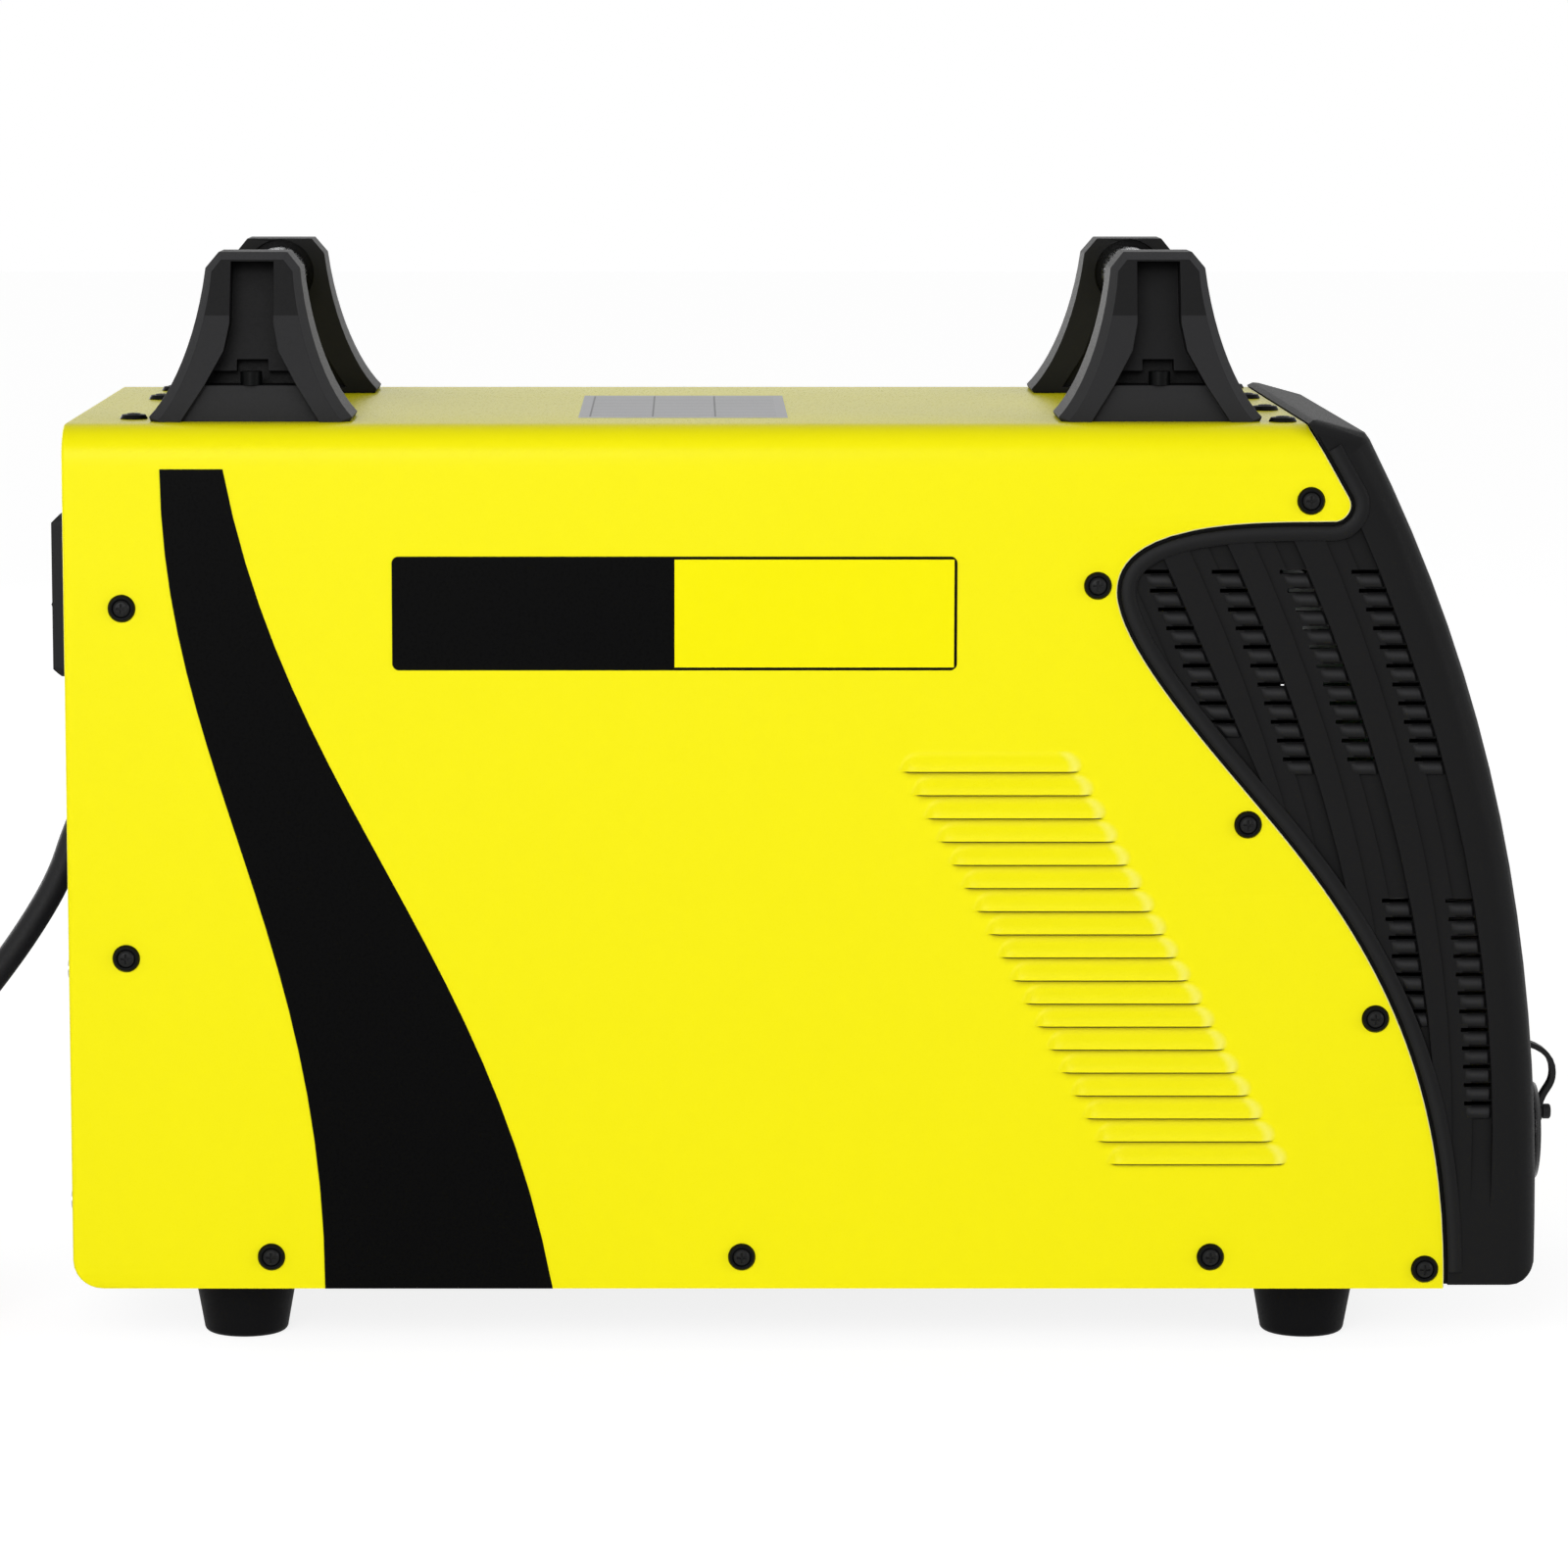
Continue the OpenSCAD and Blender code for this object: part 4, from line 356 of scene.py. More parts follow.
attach(tie, "machine")


# ---- Supply plug ------------------------------------------------------------
# A round five-pin plug of red moulded plastic with a screwed cable nut.
same_place, hard_edge = 2e-6, math.radians(32)


def dress(names, material, edge=0.4, steps=2):
    """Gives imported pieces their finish. Their loose triangles are welded and their hard edges
    rounded by edge millimetres, or only kept hard where edge is 0."""
    for name in [names] if isinstance(names, str) else names:
        part = nodes[name]
        part.data.materials.clear()
        part.data.materials.append(material)
        part.data.shade_smooth()
        weld = part.modifiers.new("weld", "WELD")
        weld.merge_threshold = same_place
        if edge:
            bevel = part.modifiers.new("edges", "BEVEL")
            bevel.width = edge / 1000
            bevel.segments = steps
            bevel.limit_method = "ANGLE"
            bevel.angle_limit = hard_edge
            bevel.use_clamp_overlap = True
        else:
            split = part.modifiers.new("split", "EDGE_SPLIT")
            split.split_angle = hard_edge
        even = part.modifiers.new("even", "WEIGHTED_NORMAL")
        even.keep_sharp = True


red_plastic = finish("red_moulding", (0.55, 0.018, 0.014), 0.42, shade=0.85, patch=20, grain=1500,
                     relief=0.03, specular=0.35)
dress("supply_plug", red_plastic, edge=0.8)


# ---- Cover ------------------------------------------------------------------
# One sheet of 1.2 mm steel, powder-coated yellow, bent over the sides and the top
# and flanged inwards at the rear. Eighteen louvres are lanced and pressed in each side.
low_z, top_z, side_y, bend_r = 28.3, 412.3, 150.0, 15.0
edge_line = np.vstack([
    bezier([(610.1, 28.3), (610.1, 104.8), (590.3, 163.8), (540.0, 226.3)], 30)[:-1],
    bezier([(540.0, 226.3), (513.9, 258.8), (461.6, 312.8), (461.6, 339.6)], 30)[:-1],
    bezier([(461.6, 339.6), (461.6, 371.1), (523.2, 369.9), (555.9, 369.9)], 30)[:-1],
    bezier([(555.9, 369.9), (561.1, 369.9), (565.3, 375.6), (562.8, 380.3)], 10)[:-1],
    np.linspace((562.8, 380.3), (544.6, 412.3), 14)])
flat_h = top_z - bend_r - low_z
bend_len = bend_r * math.pi / 2
half_len = flat_h + bend_len + side_y - bend_r


def up_the_sheet(z):
    """Length along the unrolled sheet, from its lower edge, of a height on the side or the bend."""
    z = np.asarray(z, float)
    a = np.arcsin(np.clip((z - top_z + bend_r) / bend_r, 0, 1))
    return np.where(z < top_z - bend_r, z - low_z, flat_h + bend_r * a)


def on_sheet(x, s, out):
    """A point of the right-hand half: s runs up the side, round the bend and over the top; out is
    its height above the outer face."""
    x, s, out = np.broadcast_arrays(*[np.asarray(v, float) for v in (x, s, out)])
    a = np.clip((s - flat_h) / bend_r, 0, math.pi / 2)
    y = -(side_y - bend_r + (bend_r + out) * np.cos(a)) + np.maximum(s - flat_h - bend_len, 0)
    z = top_z - bend_r + (bend_r + out) * np.sin(a) - np.maximum(flat_h - s, 0)
    y = np.where(s > flat_h + bend_len, -(side_y - bend_r) + (s - flat_h - bend_len), y)
    return np.stack([x, y, z], -1)


# The cut edge at the front is rounded by the paint: its line is drawn in by the radius.
rim_r = 0.6
rim = np.stack([edge_line[:, 0], np.maximum.accumulate(up_the_sheet(edge_line[:, 1]))], -1)
rim[:, 1] += np.arange(len(rim)) * 1e-6
rim = np.vstack([rim, [rim[-1, 0], half_len]])
rim_out = unit(np.stack([np.gradient(rim[:, 1]), -np.gradient(rim[:, 0])], -1))
rim_in = rim - rim_r * rim_out
rim_in[:, 1] = np.maximum.accumulate(rim_in[:, 1]) + np.arange(len(rim)) * 1e-6
rim_in[-1, 1] = half_len

# Louvres: each lip lies 10.31 mm below the one above and 5.46 mm further forward.
louvre_n, louvre_len, louvre_out, louvre_h = 18, 75.0, 2.95, 9.5
first_x, first_z, louvre_dx, louvre_dz = 368.8, 259.9, 5.46, 10.31
louvre_x = first_x + louvre_dx * np.arange(louvre_n)
louvre_s = first_z - louvre_dz * np.arange(louvre_n) - low_z
louvre_share = np.array([0, 0.045, 0.06, 0.14, 0.3, 0.5, 0.68, 0.82, 0.92, 1.0])
hood_end, lip_roll = 6.0, 0.08
# Sizes of painted light: the painted shadow line at a lip, the painted highlight at a hood's right
# end and how far in it lies, and the height of the painted shadow under a lip.
line_w, end_highlight_w, end_highlight_in, lip_shadow_h = 0.44, 3.4, 2.4, 4.0


def louvre_form(x, s, x0, s0):
    """Lift, distance from the right end and share of one hood. Up a hood the lift is half of
    1 + cos(pi t), rolled back a little at the lip; along it, it rises at both ends as a quarter
    circle 6 mm long. The ends lean: the left one moves in and the right one out and back in
    with t."""
    t = np.clip((s - s0) / louvre_h, 0, 1)
    up = 0.5 * (1 + np.cos(np.pi * t**1.1)) - lip_roll * np.exp(-t / 0.03)
    left = x0 - 1.0 + 5.5 * t**2
    right = x0 + louvre_len + 1.5 + 6 * t - 11 * t**2
    near = np.clip(np.minimum(x - left, right - x) / hood_end, 0, 1)
    return louvre_out * up * np.sqrt(1 - (1 - near)**2), right - x, t


# Rows across the sheet: close together in the rounded lower corner, up the front edge's hook
# and round the bend, and in steps of louvre_share up each hood. A lip has two rows at one
# height, the flat sheet's and the hood's, so that the slot stays open between them.
plain_s = np.concatenate([
    [0, 0.3, 1.0, 2.2, 4.0, 6.4, 9.2, 12.5, 20, 34, 48, 55.2],
    np.arange(246, 306, 5), np.arange(306, 340, 2.5),
    np.unique(np.round(rim_in[(rim_in[:, 1] > 339) & (rim_in[:, 1] < 353), 1], 3)),
    [356, 361, 365, flat_h], flat_h + bend_len * np.arange(1, 9) / 8,
    [half_len - 60, half_len - 1.0, half_len]])
plain_hood = np.where(plain_s < 150, louvre_n - 1, 0)
hood_s = (louvre_s[:, None] + louvre_h * louvre_share[None, :]).ravel()
hood_of = np.repeat(np.arange(louvre_n), len(louvre_share))
row_s = np.concatenate([plain_s, hood_s, louvre_s])
row_hood = np.concatenate([plain_hood, hood_of, np.arange(louvre_n)])
row_kind = np.repeat([0, 1, 2], [len(plain_s), len(hood_s), louvre_n])
order = np.lexsort((row_kind != 2, row_s))
row_s, row_hood, row_kind = row_s[order], row_hood[order], row_kind[order]
keep = np.concatenate([[True], (np.diff(row_s) > 0.05) | (row_kind[:-1] == 2)])
row_s, row_hood, row_kind = row_s[keep], row_hood[keep], row_kind[keep]
row_count = len(row_s)
lower_row, hood_row = row_kind == 2, row_kind == 1

# Columns follow the louvres, close together at their ends and wide apart elsewhere.
hood_u = np.concatenate([[-9.0, -7.0, -5.0, -3.2], np.arange(-1.6, 12, 1.05),
                         np.arange(18, 62, 9), np.arange(64, 80, 1.0)])
column_x = np.hstack([np.tile([3, 60, 140, 220, 300, 350], (row_count, 1)),
                      louvre_x[row_hood][:, None] + hood_u[None, :],
                      np.tile([555, 575, 600, 640], (row_count, 1))])
front_x = np.interp(row_s, rim_in[:, 1], rim_in[:, 0])
corner_r = 12.5
from_arc = np.sqrt(np.maximum(corner_r**2 - (corner_r - row_s)**2, 0))
rear_x = np.where(row_s < corner_r, corner_r - from_arc, 0)
sheet_t, fold_r, flange_w = 1.2, 1.5, 9.6
fold_a = np.radians(np.linspace(0, 90, 5))
flange_x = np.concatenate([[0.0], fold_r - fold_r * np.cos(fold_a)])
flange_out = np.concatenate([[-flange_w], -fold_r + fold_r * np.sin(fold_a)])
flange_in_x = np.concatenate([[sheet_t], fold_r - (fold_r - sheet_t) * np.cos(fold_a)])
flange_in_out = np.concatenate([[-flange_w], -fold_r + (fold_r - sheet_t) * np.sin(fold_a)])
body_x = np.clip(column_x, rear_x[:, None] + fold_r, front_x[:, None])
lift, from_right, share = louvre_form(body_x, row_s[:, None], louvre_x[row_hood][:, None],
                                      louvre_s[row_hood][:, None])
body_lift = lift * hood_row[:, None]
outer = on_sheet(np.hstack([rear_x[:, None] + flange_x, body_x]), row_s[:, None],
                 np.hstack([np.tile(flange_out, (row_count, 1)), body_lift]))
inner = on_sheet(np.hstack([rear_x[:, None] + flange_in_x, body_x]), row_s[:, None],
                 np.hstack([np.tile(flange_in_out, (row_count, 1)), body_lift - sheet_t]))
rim_dir = unit(np.stack([np.interp(row_s, rim_in[:, 1], rim_out[:, 0]),
                         np.interp(row_s, rim_in[:, 1], rim_out[:, 1])], -1))
rim_dir[-1] = (1.0, 0.0)
round_a = np.radians([60, 30, 0, -30, -60])
edge_points = on_sheet(front_x[:, None] + rim_dir[:, :1] * rim_r * np.cos(round_a),
                       row_s[:, None] + rim_dir[:, 1:] * rim_r * np.cos(round_a),
                       np.tile(-rim_r + rim_r * np.sin(round_a), (row_count, 1)))
loop = np.concatenate([outer, edge_points, inner[:, ::-1]], axis=1)
loop_n, outer_n = loop.shape[1], outer.shape[1]
cover_faces = grid_faces(row_count, loop_n, wrap=True).reshape(row_count - 1, loop_n, 4)
cover_faces = cover_faces[~lower_row[:-1]].reshape(-1, 4).tolist()
opened = body_lift > 1e-4
for row in np.flatnonzero(lower_row):
    for col in np.flatnonzero(opened[row + 1][:-1] | opened[row + 1][1:]) + len(flange_x):
        slit = (col, col + 1, loop_n - 2 - col, loop_n - 1 - col)
        cover_faces.append([row * loop_n + corner for corner in slit][::-1])
        cover_faces.append([(row + 1) * loop_n + corner for corner in slit])
cover_faces += [[col, col + 1, loop_n - 2 - col, loop_n - 1 - col] for col in range(outer_n - 1)]
cover_faces.append(list(range(outer_n - 1, outer_n + len(round_a) + 1)))
cover_points = loop.reshape(-1, 3)


def both_halves(points, faces):
    """Points and faces of a right-hand half and of its mirror image in the middle plane."""
    twin = [[corner + len(points) for corner in face[::-1]] for face in faces]
    return np.vstack([points, points * [1, -1, 1]]), faces + twin


def from_hood(values):
    """Values of the body's columns, put in their places among all points of both halves."""
    table = np.zeros((row_count, loop_n))
    table[:, len(flange_x):outer_n] = values
    return np.concatenate([table.ravel(), table.ravel()])


# Painted light and shade on the yellow coat at each point: a painted shadow line along each lip's
# slit, a painted shadow under each lip on the next hood, a painted highlight on the hoods' right
# ends and a painted highlight along the front cut edge.
under = (louvre_s[np.maximum(row_hood - 1, 0)] - row_s)[:, None]
above_x = louvre_x[np.maximum(row_hood - 1, 0)][:, None]
below_lip = (under > 0) & (under < lip_shadow_h) & (row_hood > 0)[:, None] & hood_row[:, None]
in_reach = np.clip(np.minimum(body_x - above_x, above_x + louvre_len + 1 - body_x) / 1.5, 0, 1)
lip_shadow = np.where(below_lip, np.clip(1 - under / lip_shadow_h, 0, 1)**1.4 * in_reach, 0)
own_reach = np.clip(np.minimum(body_x - louvre_x[row_hood][:, None] + 1,
                               louvre_x[row_hood][:, None] + louvre_len + 2 - body_x) / 2.0, 0, 1)
lip_shadow = np.where(lower_row[:, None], own_reach, lip_shadow)
# A painted shadow line, line_w millimetres tall, along the lip of each open hood.
slit_shadow = np.where(hood_row[:, None] & (share * louvre_h < line_w), own_reach * opened, 0)
# A painted highlight on the rounded right end of each hood, paler towards the hood's top.
end_highlight = np.clip(1 - np.abs(from_right - end_highlight_in) / end_highlight_w, 0, 1)
end_highlight = np.where(hood_row[:, None] & (share > 0.05), end_highlight, 0) * np.clip((1 - share) / 0.2, 0, 1)
# A painted highlight on the rounded front edge of the sheet.
edge_highlight = np.zeros((row_count, loop_n))
edge_highlight[:, outer_n:outer_n + 3] = (0.8, 1.0, 0.6)
edge_highlight = np.concatenate([edge_highlight.ravel(), edge_highlight.ravel()])

yellow_rgb = (0.965, 0.885, 0.0035)
yellow = finish("yellow_powder_coat", yellow_rgb, 0.3, shade=0.985, patch=3.0, grain=1100,
                relief=0.006, spread=0.05, specular=0.10)


def lay_over(material, colour, share):
    """Mixes colour over what a finish shows so far, by a share from one of its nodes."""
    tree = material.node_tree
    shader = tree.nodes["Principled BSDF"]
    mix = tree.nodes.new("ShaderNodeMix")
    mix.data_type = "RGBA"
    mix.inputs["B"].default_value = (*colour, 1.0)
    tree.links.new(share, mix.inputs["Factor"])
    tree.links.new(shader.inputs["Base Color"].links[0].from_socket, mix.inputs["A"])
    tree.links.new(mix.outputs["Result"], shader.inputs["Base Color"])


def tint_by(material, attribute, colour, strength):
    """Shifts a finish towards colour where an attribute of its piece is 1, by the given
    strength."""
    tree = material.node_tree
    read = tree.nodes.new("ShaderNodeAttribute")
    read.attribute_name = attribute
    lay_over(material, colour, math_node(tree, "MULTIPLY", read.outputs["Fac"], strength))


# Painted light on the powder coat: painted shadow under the lips and along each slit, and painted
# highlights on the hoods' right ends and along the front cut edge.
tint_by(yellow, "lip_shadow", (0.55, 0.43, 0.002), 0.55)
tint_by(yellow, "slit_shadow", (0.03, 0.02, 0.003), 0.97)
tint_by(yellow, "end_highlight", (1.0, 0.97, 0.30), 0.42)
tint_by(yellow, "edge_highlight", (1.0, 0.99, 0.62), 0.9)
cover = piece_of("cover_sheet", *both_halves(cover_points, cover_faces), yellow, smooth=180)
for name, values in (("lip_shadow", from_hood(lip_shadow)), ("slit_shadow", from_hood(slit_shadow)),
                     ("end_highlight", from_hood(end_highlight)), ("edge_highlight", edge_highlight)):
    cover.data.attributes.new(name, "FLOAT", "POINT").data.foreach_set("value", values)


def close_up(piece, smooth=38.0):
    """Merges points that lie together, drops faces with no area, turns all faces outwards and
    keeps edges sharper than smooth degrees hard."""
    work = bmesh.new()
    work.from_mesh(piece.data)
    bmesh.ops.remove_doubles(work, verts=work.verts, dist=same_place)
    bmesh.ops.dissolve_degenerate(work, edges=work.edges, dist=same_place / 2)
    bmesh.ops.recalc_face_normals(work, faces=work.faces)
    work.to_mesh(piece.data)
    work.free()
    piece.data.shade_smooth()
    piece.data.set_sharp_from_angle(angle=math.radians(smooth))


close_up(cover)
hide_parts("cover")
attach(cover, "machine")


# ---- Side stripes -----------------------------------------------------------
# A swept stripe of satin black film on each side of the cover.
def black_film(name):
    """Satin black print film."""
    return finish(name, (0.0014, 0.0014, 0.0015), 0.3, shade=0.8, patch=8, grain=700,
                  relief=0.003, specular=0.035)


dress("side_stripes", black_film("black_film"), 0)


# ---- Name plates ------------------------------------------------------------
# A blank printed plate on each side: its rear half is black, its front half yellow in a
# black outline. Seen from the left side the halves change places.
plate_low, plate_high, plate_line = (144.0, 304.9), (391.6, 354.9), 1.3


def between(tree, value, low, high):
    """1 where value lies between low and high, else 0."""
    return math_node(tree, "MULTIPLY", math_node(tree, "GREATER_THAN", value, low),
                     math_node(tree, "LESS_THAN", value, high))


def print_over(material, mask_of, colour):
    """Prints colour over a finish wherever mask_of, given the tree and the place's X, Y and Z,
    is 1."""
    tree = material.node_tree
    place = tree.nodes.new("ShaderNodeSeparateXYZ")
    tree.links.new(tree.nodes["where"].outputs["Object"], place.inputs[0])
    lay_over(material, colour, mask_of(tree, *place.outputs[:3]))


def yellow_half(tree, x, y, z):
    """The yellow half inside its outline. Distance from the plate's middle counts forwards on
    the right side."""
    middle = ((plate_low[0] + plate_high[0]) / 2 - REAR) / 1000
    half = (plate_high[0] - plate_low[0]) / 2000
    line = plate_line / 1000
    forward = math_node(tree, "MULTIPLY", math_node(tree, "SUBTRACT", x, middle),
                        math_node(tree, "MULTIPLY", math_node(tree, "SIGN", y), -1.0))
    return math_node(tree, "MULTIPLY", between(tree, forward, 0.0, half - line),
                     between(tree, z, plate_low[1] / 1000 + line, plate_high[1] / 1000 - line))


plate_film = black_film("plate_film")
print_over(plate_film, yellow_half, yellow_rgb)
dress("name_plates", plate_film, 0)


# ---- Front bezel ------------------------------------------------------------
# Black textured moulding. Its bead along the cover's edge is rounded, and between the ventilation
# slots of its wings lie cushioned ribs. Painted shade darkens the moulding in its corners, and a
# painted highlight runs along the crests of the bead and the ribs.
def paint_corner_shade(material, reach, depth):
    """Painted shade: darkens a finish in its corners, where little sky is open within reach
    millimetres, by up to depth."""
    tree = material.node_tree
    opening = tree.nodes.new("ShaderNodeAmbientOcclusion")
    opening.inputs["Distance"].default_value = reach / 1000
    opening.samples = 8
    closed = math_node(tree, "SUBTRACT", 1.0, opening.outputs["AO"])
    lay_over(material, (0.0, 0.0, 0.0), math_node(tree, "MULTIPLY", closed, depth))


def textured(name, colour, rough=0.5, shade=0.8, specular=0.12):
    """A black moulding with a fine spark-eroded texture."""
    return finish(name, colour, rough, shade=shade, patch=14, grain=1300, relief=0.03, spread=0.1,
                  specular=specular)


bezel_rgb = (0.0078, 0.0078, 0.0082)
bezel_black = textured("bezel_moulding", bezel_rgb, specular=0.08)
# Painted shade in the bezel's slots, steps and corners.
paint_corner_shade(bezel_black, 6.0, 1.6)
# The bead and the ribs share a finish with a painted highlight, paler where their crests are
# marked.
bezel_highlight = textured("bezel_highlight", bezel_rgb, rough=0.45, specular=0.1)
tint_by(bezel_highlight, "crest_highlight", (0.024, 0.024, 0.0255), 1.0)
dress("front_bezel", bezel_black, 0.5)

wing_y, bead_low, bead_high = 150.8, 30.3, 401
bead_from, bead_to, bead_up, bead_sunk = 1.7, 8.0, 1.05, 0.6
side_edge = edge_line[edge_line[:, 1] < bead_high]
edge_dir = unit(np.gradient(side_edge, axis=0))
edge_out = np.stack([edge_dir[:, 1], -edge_dir[:, 0]], -1)


def beside(d):
    """The cover's front edge moved d millimetres on to the wing, square to itself."""
    return side_edge + d * edge_out


def show_highlight(piece, values):
    """Marks each point of a piece with how far its finish takes the painted highlight along its
    crest.
    """
    piece.data.attributes.new("crest_highlight", "FLOAT", "POINT").data.foreach_set("value", values)


# Across the bead, from one foot to the other: the distance from the cover's edge follows a
# cosine, and the height above the wing a sine raised to 0.7, which gives it full shoulders.
bead_a = np.linspace(0, np.pi, 11)
bead_d = (bead_from + bead_to) / 2 - (bead_to - bead_from) / 2 * np.cos(bead_a)
bead_y = wing_y - 0.05 + bead_up * np.sin(bead_a)**0.7
bead_d = np.concatenate([[bead_from], bead_d, [bead_to]])
bead_y = np.concatenate([[wing_y - bead_sunk], bead_y, [wing_y - bead_sunk]])
bead_rings = np.stack([np.stack([beside(d)[:, 0], np.full(len(side_edge), -y), beside(d)[:, 1]],
                                -1) for d, y in zip(bead_d, bead_y)], axis=1)
bead_rings = bead_rings[bead_rings[:, :, 2].min(1) > bead_low]
bead = piece_of("bezel_bead", *both_halves(*closed_rings(bead_rings)), bezel_highlight, 180)
# A painted highlight along the bead, a little to the cover's side of its top.
bead_highlight = np.exp(-((bead_d - bead_from - 2.2) / 1.3)**2) * (bead_y > wing_y) * 0.3
bead_highlight = np.concatenate([np.tile(bead_highlight, len(bead_rings)), [0, 0]])
show_highlight(bead, np.tile(bead_highlight, 2))
close_up(bead)
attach(bead, "machine")

strip_dx = [(165.4, 3.7, 0.0), (134.7, 3.75, 0.052), (105.0, 3.62, 0.0535), (73.6, 3.45, 0.055)]
slot_groups = [(0, 0.0, 9), (1, 0.0, 11), (2, 0.0, 11), (3, 0.0, 11), (2, 17.6, 7), (3, 17.6, 12)]
slot_pitch, slot_len, slot_h, first_slot_z = 8.26, 12.4, 1.8, 348.2
rib_top, rib_floor, rib_foot, rib_gap, rib_least = 150.75, 148.6, 0.5, 0.12, 2.5
rib_back, ribs_below, rib_n = 0.35, 345, 9


def strip_x(k, i):
    """Right-hand edge of strip k, i rows below the first: a shallow parabola."""
    return 650.0 - strip_dx[k][0] + strip_dx[k][1] * i - strip_dx[k][2] * i**2


# A rib is a grid of rib_n by rib_n points over its length (rib_u) and height (rib_v), and a flat
# copy of it underneath. Up the rib the swell is half a circle; it dies away at both ends.
clear_line = beside(bead_to + 0.4)
clear_line = clear_line[clear_line[:, 1] < ribs_below]
rib_u, rib_v = np.meshgrid(np.linspace(0, 1, rib_n), np.linspace(0, 1, rib_n))
swell = np.sqrt(1 - (2 * rib_v - 1)**2)
swell = swell * np.clip(np.minimum(rib_u / 0.22, (1 - rib_u) / 0.1), 0, 1)**0.5
grid_n = rib_n**2
number = np.arange(grid_n).reshape(rib_n, rib_n)
rib_edge = np.concatenate([number[0, :-1], number[:-1, -1], number[-1, :0:-1], number[:0:-1, 0]])
next_edge = np.roll(rib_edge, -1)
rib_wall = np.stack([rib_edge, next_edge, next_edge + grid_n, rib_edge + grid_n], -1)
rib_quads = grid_faces(rib_n, rib_n)
rib_shell = np.vstack([rib_quads[:, ::-1], rib_quads + grid_n, rib_wall])
rib_points, rib_faces = [], []
for k, first, rows in slot_groups:
    for i in first + np.arange(rows):
        z_high = first_slot_z - slot_pitch * i - slot_h / 2 - rib_gap
        z_low = z_high - (slot_pitch - slot_h) + 2 * rib_gap
        rib_z = z_high + (z_low - z_high) * rib_v
        right = strip_x(k, (first_slot_z - rib_z) / slot_pitch) - rib_back
        bead_side = np.interp(rib_z, clear_line[:, 1], clear_line[:, 0])
        left = np.maximum(right - slot_len, bead_side)
        if (right - left).min() < rib_least:
            continue
        rib_x = left + (right - left) * rib_u
        rib_y = rib_floor + rib_foot + (rib_top - rib_floor - rib_foot) * swell
        for side in (-1, 1):
            rib_faces.append(len(rib_points) * 2 * grid_n + rib_shell)
            rib_points.append(np.vstack([
                np.stack([rib_x, side * y, rib_z], -1).reshape(-1, 3)
                for y in (rib_y, np.full_like(rib_x, rib_floor))]))
ribs = piece_of("bezel_ribs", np.vstack(rib_points), np.vstack(rib_faces), bezel_highlight, 180)
# A painted highlight across the upper middle of each rib, fading towards its ends.
rib_highlight = np.exp(-((rib_v - 0.42) / 0.2)**2)
rib_highlight = rib_highlight * np.clip(np.minimum(rib_u / 0.35, (1 - rib_u) / 0.15), 0, 1)
rib_highlight = np.concatenate([rib_highlight.ravel(), np.zeros(grid_n)])
show_highlight(ribs, np.tile(rib_highlight, len(rib_points)))
close_up(ribs, smooth=60)
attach(ribs, "machine")


# ---- Handle brackets --------------------------------------------------------
# Four black mouldings, each screwed down through a ledge at the foot of its recess. Every plane is
# set out in drawing millimetres, and one small rounding then breaks all edges. Each face carries
# painted light, a tone from the black of the moulding to pale for how much light falls on it, and
# painted shade darkens the recess and corners.
moulding = textured("bracket_moulding", (0.0032, 0.0032, 0.0034), shade=0.75)
# Painted light and shade on the bracket faces, read from each face's tone.
tint_by(moulding, "facet_light", (0.029, 0.029, 0.031), 1.0)
# Painted shade in the brackets' recesses and corners.
paint_corner_shade(moulding, 14.0, 1.0)
bracket_tall, base_out, top_out = 73.5, 130.0, 104.0
base_in, top_in = 84.0, 72.0
rail_break, ledge_z, gap_top, notch_top, recess_top = 46.0, 15.7, 21.4, 26.4, 69.4
apron_in, wall_in, gap_in, notch_half = 3.5, 12.0, 17.0, 6.8
socket_z, socket_r, socket_in, hollow_in = 57.2, 15.7, 4.5, 4.0
chamfer_foot, chamfer_top, chamfer_crown, chamfer_deep = 4.3, 3.3, 1.4, 4.2
rounding, round_from = 0.0007, math.radians(16)
flare = np.vstack([[43.8, 0.0], bezier([(44.8, 2), (35, 12), (24.5, 35), (21, 66.5)], 12),
                   [15.2, bracket_tall]])
rail = np.array([[30.5, 0], [20.3, ledge_z], [12, 30.7], [9.6, 42.7], [9.4, recess_top]])


def chamfer_line(line):
    """A half outline moved inwards at right angles to itself, by more at its foot than at its
    top."""
    along = unit(np.gradient(line, axis=0))
    width = np.interp(line[:, 1], [0, bracket_tall], [chamfer_foot, chamfer_top])
    moved = line + np.stack([-along[:, 1], along[:, 0]], -1) * width[:, None]
    moved[0] = [np.interp(0, moved[:2, 1], moved[:2, 0]), 0.0]
    moved[-1] = [line[-1, 0] - chamfer_crown, bracket_tall - chamfer_top]
    return moved


def rail_at(z):
    """Half the width between the two rails at a height, on straight lines between the points of
    rail."""
    return float(np.interp(z, rail[:, 1], rail[:, 0]))


